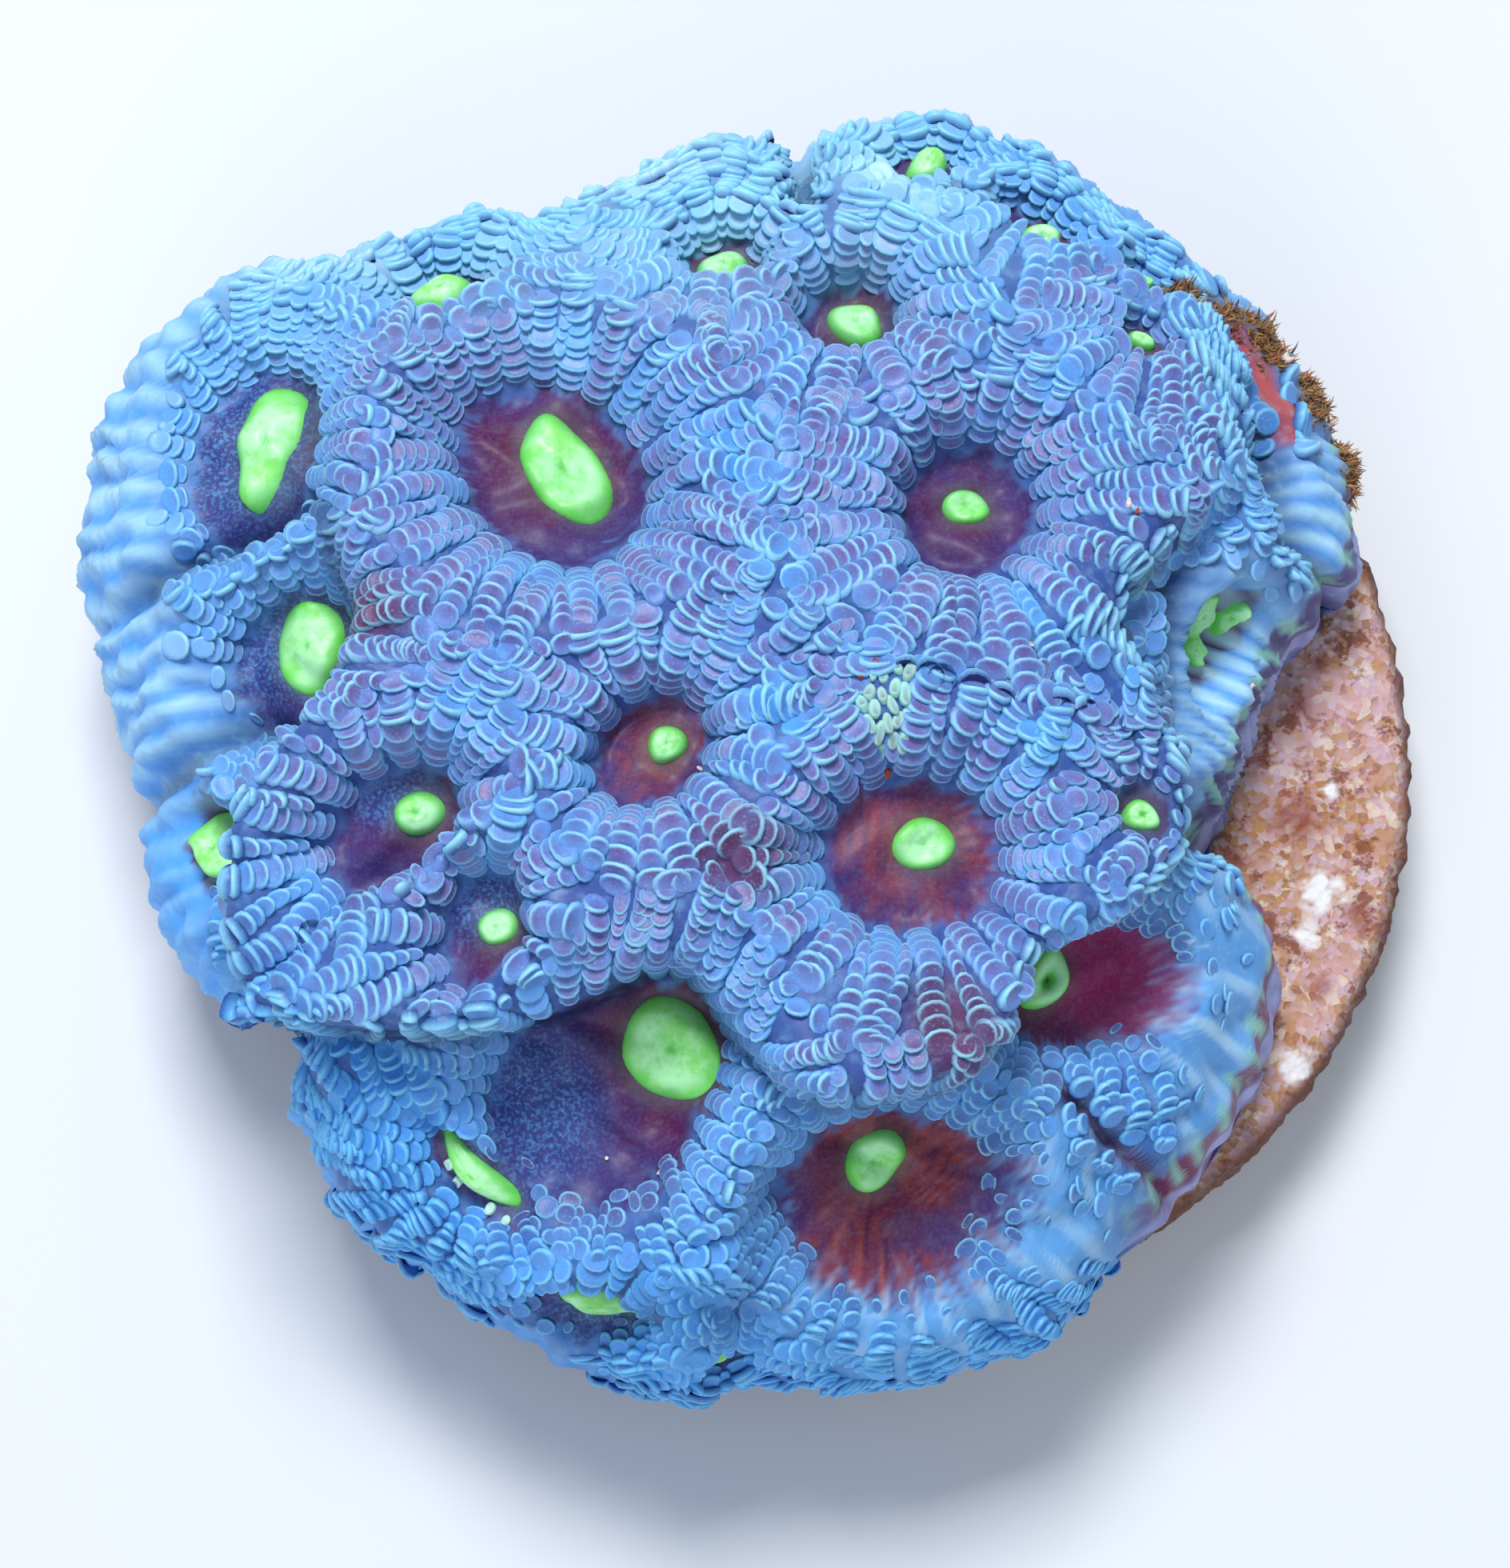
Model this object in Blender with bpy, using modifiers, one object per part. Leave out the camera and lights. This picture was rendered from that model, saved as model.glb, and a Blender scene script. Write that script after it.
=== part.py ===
"""Brain coral colony on the round ceramic disc that it has grown over.

The coral is one grown solid: a dome given by a formula, with a raised plateau, cup-shaped
calyces, mouth cushions and creases worked into it, and cut to fit over the disc. The disc is
a separate solid. Lengths in the tables are millimetres; MM turns them into metres. Bearings
are degrees about the colony's own axis, counter-clockwise from +X. A share of 0 is the crown
of the dome, 1 its widest level, and SHARE_LIP the lower lip of the skirt.
"""
import bpy
import bmesh
import numpy as np

MM = 0.001

# Disc
DISC_RADIUS = 15.0
DISC_THICKNESS = 4.5
DISC_BEVEL = 0.7
DISC_SIDES = 72
CLEARANCE = 0.3

# Dome
AXIS_X = -4.1
AXIS_Y = 0.2
CROWN_LEVEL = 6.0
DOME_HEIGHT = 8.2
SHOULDER = 0.06
SKIRT_TUCK = 0.06
SHARE_LIP = 1.25
UNDERSIDE_CENTRE = 3.0
GRID_CELLS = 120
KEPT_SHARE_OF_FACES = 0.29

# Radius of the colony's margin at each bearing: lobes, with the notches between them
MARGIN = (
    (0, 14.5), (8, 15.6), (13, 17.9), (22, 18.8), (36, 18.9), (48, 18.3), (60, 18.3),
    (71, 18.2), (78, 17.3), (82, 16.1), (88, 16.5), (97, 15.8), (108, 14.7), (121, 15.9),
    (130, 16.4), (137, 18.0), (145, 18.7), (155, 18.5), (164, 17.9), (178, 16.4),
    (187, 15.6), (200, 15.8), (208, 15.5), (215, 14.2), (222, 15.3), (235, 16.6),
    (248, 16.6), (256, 17.4), (267, 18.0), (274, 17.3), (284, 18.2), (297, 18.5),
    (308, 17.8), (320, 17.6), (332, 17.0), (340, 15.9), (348, 13.6), (354, 14.1),
)
MARGIN_BLUR = 1.6

# Height of the widest level, and of the lip below it, at each bearing. Towards +X the margin
# lies on the disc; elsewhere it hangs outside the rim.
WIDEST = ((0, 5.0), (25, 5.2), (50, 6.0), (200, 6.0), (290, 5.6), (310, 5.1), (330, 5.0))
WIDEST_BLUR = 8.0
LIP = (
    (0, 4.85), (15, 4.85), (32, 4.6), (50, 3.0), (90, 2.4), (200, 2.2), (270, 2.2),
    (285, 3.0), (300, 4.4), (315, 4.85), (335, 4.85),
)
LIP_BLUR = 5.0

# Raised plateau of the middle calyces: its foot at each bearing about its own centre
PLATEAU_X = -4.6
PLATEAU_Y = 0.6
PLATEAU_FOOT = (
    (10, 12.4), (20, 14.6), (37, 15.6), (60, 15.0), (80, 13.0), (111, 11.8), (137, 12.4),
    (159, 10.3), (176, 9.3), (190, 10.2), (198, 12.2), (208, 13.4), (218, 14.4),
    (225, 13.8), (239, 11.9), (248, 10.9), (256, 9.2), (266, 8.5), (272, 10.0), (281, 12.1),
    (298, 12.9), (305, 12.6), (314, 11.2), (326, 12.3), (336, 12.6), (348, 12.1), (359, 12.0),
)
PLATEAU_RISE = ((0, 1.8), (60, 0.8), (110, 0.6), (160, 1.5), (200, 2.0), (240, 2.6), (310, 2.6))
PLATEAU_SLOPE = ((0, 2.2), (60, 6.0), (120, 6.0), (165, 2.6), (200, 1.8), (240, 1.6), (320, 1.6))
PLATEAU_MIDDLE = 1.8
PLATEAU_BLUR = 3.0
PLATEAU_FADE = (0.72, 1.0)

# Calyces: bearing, share, valley radius, depth, mouth half length, half width, mouth bearing
CALYCES = {
    "upper_left": (153.0, 0.495, 2.1, 1.3, 1.65, 0.95, 70),
    "left": (177.5, 0.442, 2.1, 1.4, 1.20, 1.05, 60),
    "low_left": (198.5, 0.645, 1.2, 0.8, 1.00, 0.60, 110),
    "great": (130.0, 0.266, 2.5, 2.2, 1.65, 1.05, 125),
    "top": (71.5, 0.360, 1.5, 1.8, 0.85, 0.72, 150),
    "right_middle": (35.0, 0.244, 1.9, 2.0, 0.66, 0.52, 0),
    "centre": (235.5, 0.122, 1.5, 1.6, 0.50, 0.48, 0),
    "west": (207.5, 0.360, 1.6, 1.7, 0.60, 0.55, 0),
    "south_west": (231.0, 0.354, 1.2, 1.5, 0.48, 0.48, 0),
    "south_east": (313.0, 0.238, 2.1, 2.0, 0.82, 0.68, 0),
    "front": (260.5, 0.370, 3.0, 1.6, 1.45, 1.28, 100),
    "front_right": (286.0, 0.486, 2.6, 1.5, 1.00, 0.76, 65),
    "right_low": (316.0, 0.423, 2.0, 1.6, 0.90, 0.62, 60),
    "front_left": (244.5, 0.614, 1.3, 0.9, 1.45, 0.55, 130),
    "cliff": (258.0, 0.733, 1.1, 0.9, 1.10, 0.45, 175),
    "back_left": (126.5, 0.542, 1.3, 1.0, 0.85, 0.60, 0),
    "back": (91.5, 0.457, 1.4, 1.3, 0.80, 0.62, 0),
    "far_back": (70.0, 0.611, 1.1, 0.9, 0.60, 0.42, 0),
    "back_right": (55.5, 0.517, 1.1, 0.9, 0.52, 0.42, 0),
    "right": (6.0, 0.551, 1.6, 1.2, 0.85, 0.42, 100),
    "small_right": (336.5, 0.404, 0.9, 0.8, 0.36, 0.34, 0),
}
INNER_SHARE = 0.45
WALL_SHARE = 1.95
CUSHION_RISE = 0.9

# Creases between lobes, and ridges as creases of negative depth: depth, half width, then
# points in plan
CREASES = (
    (1.7, 0.60, ((-18.4, -3.1), (-16.4, -4.1), (-16.1, -6.6), (-15.4, -9.2))),
    (1.0, 0.60, ((-20.8, 2.2), (-18.1, 3.4), (-16.2, 4.0), (-14.4, 4.7))),
    (1.1, 0.45, ((4.1, -9.2), (5.8, -10.8), (7.4, -13.0))),
    (1.4, 0.45, ((-2.2, 16.2), (-2.2, 13.9), (-2.3, 12.4))),
    (0.8, 0.35, ((-1.8, 14.4), (-0.6, 14.6), (0.5, 13.9))),
    (0.9, 0.40, ((0.6, 13.5), (2.3, 12.8), (3.9, 12.1))),
    (1.0, 0.60, ((11.6, 3.6), (10.5, 6.0), (10.0, 9.2))),
    (1.4, 0.70, ((9.8, -3.4), (7.6, -2.9), (6.4, -3.4))),
    (0.9, 0.50, ((-19.8, -2.4), (-17.6, -1.5), (-16.0, -1.5))),
    (-1.0, 1.30, ((-3.4, -9.6), (-4.3, -12.4), (-5.2, -15.6))),
    (-0.5, 1.10, ((-11.0, -11.6), (-9.6, -14.4), (-8.0, -15.6))),
)
LUMP_HEIGHT = 0.16
LUMP_LENGTH = 3.1

BEARINGS = np.arange(0.0, 360.0, 0.5)


def ring_table(points, blur):
    """Values at every half degree: straight runs between the points, rounded by a Gaussian."""
    bearings, values = np.array(points, float).T
    table = np.interp(BEARINGS, bearings, values, period=360)
    gap = np.minimum(BEARINGS, 360 - BEARINGS)
    kernel = np.exp(-0.5 * (gap / blur) ** 2)
    kernel /= kernel.sum()
    return np.real(np.fft.ifft(np.fft.fft(table) * np.fft.fft(kernel)))


def around(table, angle):
    """Reads a ring table at angles in radians."""
    return np.interp(np.degrees(angle) % 360, BEARINGS, table, period=360)


MARGIN_RING = ring_table(MARGIN, MARGIN_BLUR)
WIDEST_RING = ring_table(WIDEST, WIDEST_BLUR)
LIP_RING = ring_table(LIP, LIP_BLUR)
PLATEAU_RING = ring_table(PLATEAU_FOOT, PLATEAU_BLUR)
RISE_RING = ring_table(PLATEAU_RISE, WIDEST_BLUR)
SLOPE_RING = ring_table(PLATEAU_SLOPE, WIDEST_BLUR)


def ease(x):
    """Smooth step from 0 to 1."""
    x = np.clip(x, 0, 1)
    return x * x * (3 - 2 * x)


def dome(angle, share):
    """Plain dome: an ellipse with a full shoulder above the widest level, a tucked skirt below."""
    margin = around(MARGIN_RING, angle)
    widest = around(WIDEST_RING, angle)
    lip = around(LIP_RING, angle)
    polar = np.minimum(share, 1) * np.pi / 2
    full = 1 + SHOULDER * np.sin(2 * polar) ** 2
    drop = np.clip((share - 1) / (SHARE_LIP - 1), 0, 1) * np.pi / 2
    above = share <= 1
    reach = np.where(above, margin * np.sin(polar) * full,
                     margin * (1 - SKIRT_TUCK * (1 - np.cos(drop))))
    foot = CROWN_LEVEL + (widest - CROWN_LEVEL) * np.sin(polar) ** 2
    height = np.where(above, foot + DOME_HEIGHT * np.cos(polar) * full,
                      widest - (widest - lip) * np.sin(drop))
    x = AXIS_X + reach * np.cos(angle)
    y = AXIS_Y + reach * np.sin(angle)
    return np.stack([x, y, height], -1)


def dome_normal(angle, share, step=1e-3):
    """Outward normal of the plain dome, from differences in flat coordinates."""
    a = share * np.cos(angle)
    b = share * np.sin(angle)

    def at(p, q):
        return dome(np.arctan2(q, p), np.minimum(np.hypot(p, q), SHARE_LIP))

    normal = np.cross(at(a + step, b) - at(a - step, b), at(a, b + step) - at(a, b - step))
    return normal / np.linalg.norm(normal, axis=-1, keepdims=True)


def plateau_rise(points, share):
    """Height of the middle plateau, which fades before it reaches the margin."""
    dx = points[..., 0] - PLATEAU_X
    dy = points[..., 1] - PLATEAU_Y
    angle = np.arctan2(dy, dx)
    inside = around(PLATEAU_RING, angle) - np.hypot(dx, dy)
    low, high = PLATEAU_FADE
    fade = 1 - ease((share - low) / (high - low))
    rise = around(RISE_RING, angle)
    middle = ease(np.hypot(dx, dy) / 6)
    rise = rise * middle + PLATEAU_MIDDLE * (1 - middle)
    return rise * fade * ease(inside / around(SLOPE_RING, angle) + 0.5)


def distance_to_path(points, path):
    """Plan distance to a path, and how far along it the nearest point lies, 0 to 1."""
    best = np.full(points.shape[:-1], 1e9)
    along = np.zeros(points.shape[:-1])
    count = len(path) - 1
    for i in range(count):
        start = np.array(path[i])
        leg = np.array(path[i + 1]) - start
        offset = points[..., :2] - start
        t = np.clip((offset @ leg) / (leg @ leg), 0, 1)
        distance = np.linalg.norm(offset - t[..., None] * leg, axis=-1)
        nearer = distance < best
        best = np.where(nearer, distance, best)
        along = np.where(nearer, (i + t) / count, along)
    return best, along


def relief(points, share):
    """Height of the colony's surface above the plain dome."""
    height = plateau_rise(points, share)
    pit = np.zeros(points.shape[:-1])
    cushion = np.zeros(points.shape[:-1])
    for bearing, centre_share, valley, depth, half_length, half_width, turn in CALYCES.values():
        angle = np.radians(bearing)
        centre = dome(angle, np.float64(centre_share))
        normal = dome_normal(angle, np.float64(centre_share))
        along = np.array([np.cos(np.radians(turn)), np.sin(np.radians(turn)), 0.0])
        along -= normal * (along @ normal)
        along /= np.linalg.norm(along)
        across = np.cross(normal, along)
        offset = points - centre
        distance = np.linalg.norm(offset, axis=-1)
        inner = INNER_SHARE * valley
        wall = WALL_SHARE * valley
        pit = np.maximum(pit, depth * (1 - ease((distance - inner) / (wall - inner))))
        mouth = np.hypot((offset @ along) / half_length, (offset @ across) / half_width)
        cushion = np.maximum(cushion, CUSHION_RISE * (1 - ease((mouth - 0.6) / 0.8)))
    crease = np.zeros(points.shape[:-1])
    for depth, half_width, path in CREASES:
        distance, along = distance_to_path(points, path)
        fade = ease(4 * along + 0.3) * ease(4 * (1 - along) + 0.3)
        crease += depth * fade * np.exp(-(distance / half_width) ** 2)
    x, y, z = np.moveaxis(points * (2 * np.pi / LUMP_LENGTH), -1, 0)
    lumps = LUMP_HEIGHT * np.sin(x + 1.3 * np.sin(y)) * np.sin(0.9 * y + 1.1 * np.sin(z))
    return height - pit + cushion - crease + lumps


def colony_surface(angle, share):
    """Surface of the colony, in millimetres."""
    points = dome(angle, share)
    rise = relief(points, share) * (1 - ease((share - 1) / (SHARE_LIP - 1)))
    return points + dome_normal(angle, share) * rise[..., None]


def square_to_disc(square):
    """Maps a square of side 2 onto the unit disc with no pole: angle and radius."""
    x, y = square[:, 0], square[:, 1]
    flat = np.abs(x) > np.abs(y)
    radius = np.where(flat, np.abs(x), np.abs(y))
    safe = np.where(radius > 1e-9, radius, 1)
    turn = np.where(flat, y / safe, x / safe) * np.pi / 4
    angle = np.where(flat, np.where(x > 0, turn, np.pi - turn),
                     np.where(y > 0, np.pi / 2 - turn, -np.pi / 2 + turn))
    return angle, radius


def make_material(name, colour, roughness):
    material = bpy.data.materials.new(name)
    material.use_nodes = True
    shader = material.node_tree.nodes["Principled BSDF"]
    shader.inputs["Base Color"].default_value = (*colour, 1.0)
    shader.inputs["Roughness"].default_value = roughness
    shader.inputs["Metallic"].default_value = 0.0
    return material


def add_object(name, bm, collection, material=None):
    mesh = bpy.data.meshes.new(name)
    bm.to_mesh(mesh)
    bm.free()
    if material:
        mesh.materials.append(material)
    obj = bpy.data.objects.new(name, mesh)
    collection.objects.link(obj)
    return obj


def make_disc(collection):
    """Ceramic disc: a bevelled cylinder standing on the origin."""
    bm = bmesh.new()
    bmesh.ops.create_cone(bm, cap_ends=True, segments=DISC_SIDES, depth=DISC_THICKNESS * MM,
                          radius1=DISC_RADIUS * MM, radius2=DISC_RADIUS * MM)
    disc = add_object("disc", bm, collection, make_material("ceramic", (0.50, 0.30, 0.22), 0.85))
    disc.location.z = DISC_THICKNESS * MM / 2
    bevel = disc.modifiers.new("rounded rim", "BEVEL")
    bevel.width = DISC_BEVEL * MM
    bevel.segments = 2
    bevel.limit_method = "ANGLE"
    return disc


def make_clearance_cutter(collection):
    """Room for the disc inside the coral, a clearance larger than the disc."""
    bm = bmesh.new()
    depth = 2 * (DISC_THICKNESS + CLEARANCE)
    bmesh.ops.create_cone(bm, cap_ends=True, segments=DISC_SIDES, depth=depth * MM,
                          radius1=(DISC_RADIUS + CLEARANCE) * MM,
                          radius2=(DISC_RADIUS + CLEARANCE) * MM)
    cutter = add_object("disc_clearance", bm, collection)
    cutter.hide_render = True
    cutter.display_type = "WIRE"
    return cutter


def make_coral(collection, cutter):
    """Coral: a grid wrapped over the colony's surface, closed below and cut for the disc."""
    bm = bmesh.new()
    bmesh.ops.create_grid(bm, x_segments=GRID_CELLS, y_segments=GRID_CELLS, size=1.0)
    square = np.array([vert.co[:] for vert in bm.verts])
    angle, radius = square_to_disc(square)
    surface = colony_surface(angle, radius * SHARE_LIP) * MM
    for vert, point in zip(bm.verts, surface):
        vert.co = point
    rim = [edge for edge in bm.edges if edge.is_boundary]
    underside = bmesh.ops.contextual_create(bm, geom=rim)["faces"]
    centre = bmesh.ops.poke(bm, faces=underside)["verts"][0]
    centre.co = (AXIS_X * MM, AXIS_Y * MM, UNDERSIDE_CENTRE * MM)
    bmesh.ops.recalc_face_normals(bm, faces=bm.faces)
    flesh = make_material("flesh", (0.16, 0.26, 0.62), 0.45)
    coral = add_object("coral", bm, collection, flesh)
    coral.data.shade_smooth()
    thin = coral.modifiers.new("fewer faces", "DECIMATE")
    thin.ratio = KEPT_SHARE_OF_FACES
    cut = coral.modifiers.new("room for the disc", "BOOLEAN")
    cut.operation = "DIFFERENCE"
    cut.solver = "EXACT"
    cut.object = cutter
    return coral


def main():
    for obj in list(bpy.data.objects):
        bpy.data.objects.remove(obj)
    parts = bpy.data.collections.new("brain_coral")
    cutters = bpy.data.collections.new("cutters")
    bpy.context.scene.collection.children.link(parts)
    bpy.context.scene.collection.children.link(cutters)
    make_disc(parts)
    make_coral(parts, make_clearance_cutter(cutters))


main()
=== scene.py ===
# %% [markdown]
# # A brain coral on its disc
# A brain coral is a colony of polyps on one shared skeleton. Each polyp has a bright mouth at the
# bottom of a cup, and the walls between the cups carry rows of fleshy lobes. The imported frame
# gives the plain solids. Here they get their flesh, mouths, margin and crust, all in the frame's
# own place and size. Lengths below are millimetres until a mesh is made.

# %% Load the frame
import bpy
import numpy as np
from mathutils import Matrix, Vector


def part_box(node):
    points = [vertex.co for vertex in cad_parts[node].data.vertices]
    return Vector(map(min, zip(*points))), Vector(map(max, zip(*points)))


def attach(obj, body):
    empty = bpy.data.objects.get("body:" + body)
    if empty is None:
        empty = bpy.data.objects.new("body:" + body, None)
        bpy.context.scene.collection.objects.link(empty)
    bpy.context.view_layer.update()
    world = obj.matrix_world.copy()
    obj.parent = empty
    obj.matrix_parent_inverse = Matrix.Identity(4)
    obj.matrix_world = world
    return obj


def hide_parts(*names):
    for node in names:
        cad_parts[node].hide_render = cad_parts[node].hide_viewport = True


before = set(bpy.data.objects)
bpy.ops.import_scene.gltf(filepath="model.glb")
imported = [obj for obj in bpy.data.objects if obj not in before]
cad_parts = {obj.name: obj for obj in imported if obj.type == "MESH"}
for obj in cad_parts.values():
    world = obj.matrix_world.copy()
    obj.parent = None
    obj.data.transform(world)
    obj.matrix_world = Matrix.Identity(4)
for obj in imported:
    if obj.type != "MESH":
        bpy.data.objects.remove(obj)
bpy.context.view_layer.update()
MM = 0.001
disc_low, disc_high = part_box("disc")
DISC_RADIUS = (disc_high.x - disc_low.x) / 2 / MM
DISC_TOP = disc_high.z / MM
print(f"disc {2 * DISC_RADIUS:.1f} mm across, {DISC_TOP:.1f} mm thick")

# %% [markdown]
# ## Camera
# The photograph looks almost straight down, leaning a little to the front and the left. A long
# lens close by keeps the view of a small thing flat. The camera is worked out from three real
# facts: how far away it is, how many pixels cover a millimetre there, and which way it looks.

# %% Make the camera
PHOTO_WIDTH = 1888
PIXELS_PER_MM = 46.4
CAMERA_DISTANCE = 128.5
CAMERA_AIM = Vector((-3.1, -1.1, 5.0))
TOWARDS_CAMERA = Vector((-0.061, -0.227, 1.0)).normalized()

camera_data = bpy.data.cameras.new("photo_camera")
camera_data.sensor_fit = "HORIZONTAL"
camera_data.lens = camera_data.sensor_width * PIXELS_PER_MM * CAMERA_DISTANCE / PHOTO_WIDTH
camera_data.clip_start = 0.001
camera = bpy.data.objects.new("photo_camera", camera_data)
bpy.context.scene.collection.objects.link(camera)
right = Vector((0, 1, 0)).cross(TOWARDS_CAMERA).normalized()
turn = Matrix((right, TOWARDS_CAMERA.cross(right), TOWARDS_CAMERA)).transposed()
place = Matrix.Translation((CAMERA_AIM + CAMERA_DISTANCE * TOWARDS_CAMERA) * MM)
camera.matrix_world = place @ turn.to_4x4()
bpy.context.scene.camera = camera
print(f"lens {camera_data.lens:.0f} mm")

# %% [markdown]
# ## Shader helpers
# A finish is a small graph of nodes. Written as Python, the sums in it stay readable: a Wire holds
# one output, and adding or multiplying wires adds the Math nodes. Everything else comes from one
# method of the Finish, which sets a node's options and then fills its sockets.

# %% Wires and finishes
class Wire:
    """One node output. Arithmetic on it adds Math nodes to its finish."""

    def __init__(self, finish, socket):
        self.finish = finish
        self.socket = socket

    def maths(self, operation, first, second=0.0):
        return self.finish.node("Math", {"operation": operation}, {0: first, 1: second})

    def __add__(self, other):
        return self.maths("ADD", self, other)

    def __sub__(self, other):
        return self.maths("SUBTRACT", self, other)

    def __rsub__(self, other):
        return self.maths("SUBTRACT", other, self)

    def __mul__(self, other):
        return self.maths("MULTIPLY", self, other)

    __radd__ = __add__
    __rmul__ = __mul__

    def between(self, low, high):
        """0 below low, 1 above high, smooth in between."""
        settings = {"interpolation_type": "SMOOTHSTEP"}
        return self.finish.node("MapRange", settings, {0: self, 1: low, 2: high})


class Finish:
    """A Principled material, and one way to add any other node to it."""

    def __init__(self, name, **sockets):
        self.material = bpy.data.materials.new(name)
        self.material.use_nodes = True
        self.tree = self.material.node_tree
        self.shader = self.tree.nodes["Principled BSDF"]
        for socket, value in sockets.items():
            self.feed(self.shader.inputs[socket.replace("_", " ")], value)

    def feed(self, socket, value):
        if isinstance(value, Wire):
            self.tree.links.new(value.socket, socket)
        else:
            socket.default_value = value

    def node(self, kind, settings=None, inputs=None, output=0):
        node = self.tree.nodes.new("ShaderNode" + kind)
        for key, value in (settings or {}).items():
            if key == "stops":
                self.set_stops(node.color_ramp, value)
            else:
                setattr(node, key, value)
        for key, value in (inputs or {}).items():
            self.feed(node.inputs[key], value)
        return Wire(self, node.outputs[output])

    def set_stops(self, ramp, stops):
        while len(ramp.elements) < len(stops):
            ramp.elements.new(0.5)
        for element, (position, colour) in zip(ramp.elements, stops):
            element.position = position
            element.color = colour

    def attribute(self, name):
        return self.node("Attribute", {"attribute_name": name}, output="Fac")

    def noise(self, scale, detail=3.0, roughness=0.55):
        place = self.node("TexCoord", output="Object")
        sockets = {"Vector": place, "Scale": scale, "Detail": detail, "Roughness": roughness}
        return self.node("TexNoise", None, sockets, "Fac")

    def cells(self, scale, output):
        place = self.node("TexCoord", output="Object")
        return self.node("TexVoronoi", None, {"Vector": place, "Scale": scale}, output)

    def mix(self, factor, first, second):
        """Colour that goes from the first to the second as the factor goes from 0 to 1."""
        return self.node("Mix", {"data_type": "RGBA"}, {0: factor, 6: first, 7: second}, 2)

    def tint(self, colour, *layers):
        """Lays colours over one, each by the stored number of its name times a strength."""
        for key, strength, over in layers:
            colour = self.mix(self.attribute(key) * strength, colour, over)
        return colour

    def ramp(self, factor, stops):
        return self.node("ValToRGB", {"stops": stops}, {"Fac": factor}, "Color")

    def bump(self, height, strength, distance):
        sockets = {"Height": height, "Strength": strength, "Distance": distance}
        return self.node("Bump", None, sockets)

    def wear(self, colour, roughness=None, normal=None):
        """Feeds the shader what varies over the surface."""
        for key, value in (("Base Color", colour), ("Roughness", roughness), ("Normal", normal)):
            if value is not None:
                self.feed(self.shader.inputs[key], value)
        return self.material


def shade(red, green, blue):
    """Screen colour, 0 to 255, as the linear colour that a shader takes."""
    screen = np.array([red, green, blue]) / 255
    linear = np.where(screen <= 0.04045, screen / 12.92, ((screen + 0.055) / 1.055) ** 2.4)
    return (*linear.tolist(), 1.0)


# %% [markdown]
# ## The colony's form
# Before the flesh there is the shape it covers. The dome is the same formula as the plain
# solid's: an ellipse of a margin that changes with the bearing, with a fuller shoulder and a
# skirt tucked in below. Bearings are degrees about the colony's axis. A share of 0 is the crown,
# 1 the widest level and SHARE_LIP the lower lip. The underside goes on from there to the axis.

# %% The dome
AXIS_X, AXIS_Y = -4.1, 0.2
CROWN_LEVEL = 6.0
DOME_HEIGHT = 8.2
SHOULDER = 0.06
SKIRT_TUCK = 0.06
SHARE_LIP = 1.25
MARGIN = (
    (0, 14.5), (8, 15.6), (13, 17.9), (22, 18.8), (36, 18.9), (48, 18.3), (60, 18.3),
    (71, 18.2), (78, 17.3), (82, 16.1), (88, 16.5), (97, 15.8), (108, 14.7), (121, 15.9),
    (130, 16.4), (137, 18.0), (145, 18.7), (155, 18.5), (164, 17.9), (178, 16.4),
    (187, 15.6), (200, 15.8), (208, 15.5), (215, 14.2), (222, 15.3), (235, 16.6),
    (248, 16.6), (256, 17.4), (267, 18.0), (274, 17.3), (284, 18.2), (297, 18.5),
    (308, 17.8), (320, 17.6), (332, 17.0), (340, 15.9), (348, 13.6), (354, 14.1),
)
WIDEST = ((0, 5.0), (25, 5.2), (50, 6.0), (200, 6.0), (290, 5.6), (310, 5.1), (330, 5.0))
LIP = (
    (0, 4.85), (15, 4.85), (32, 4.6), (50, 3.0), (90, 2.4), (200, 2.2), (270, 2.2),
    (285, 3.0), (300, 4.4), (315, 4.85), (335, 4.85),
)
BEARINGS = np.arange(0.0, 360.0, 0.5)


def ring_table(points, blur):
    """Values at every half degree: straight runs between the points, rounded by a Gaussian."""
    bearings, values = np.array(points, float).T
    table = np.interp(BEARINGS, bearings, values, period=360)
    kernel = np.exp(-0.5 * (np.minimum(BEARINGS, 360 - BEARINGS) / blur) ** 2)
    return np.real(np.fft.ifft(np.fft.fft(table) * np.fft.fft(kernel / kernel.sum())))


def around(table, angle):
    return np.interp(np.degrees(angle) % 360, BEARINGS, table, period=360)


def ease(x):
    """Smooth step from 0 to 1."""
    x = np.clip(x, 0, 1)
    return x * x * (3 - 2 * x)


def unit(vectors):
    return vectors / np.maximum(np.linalg.norm(vectors, axis=-1, keepdims=True), 1e-12)


MARGIN_RING = ring_table(MARGIN, 1.6)
WIDEST_RING = ring_table(WIDEST, 8.0)
LIP_RING = ring_table(LIP, 5.0)


def rings_at(angle):
    """Margin, widest level and lip level on each bearing."""
    return [around(table, angle) for table in (MARGIN_RING, WIDEST_RING, LIP_RING)]


def foot_level(polar, widest):
    """The ellipse's own foot sinks from the crown's level to the widest level."""
    return CROWN_LEVEL + (widest - CROWN_LEVEL) * np.sin(polar) ** 2


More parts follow.
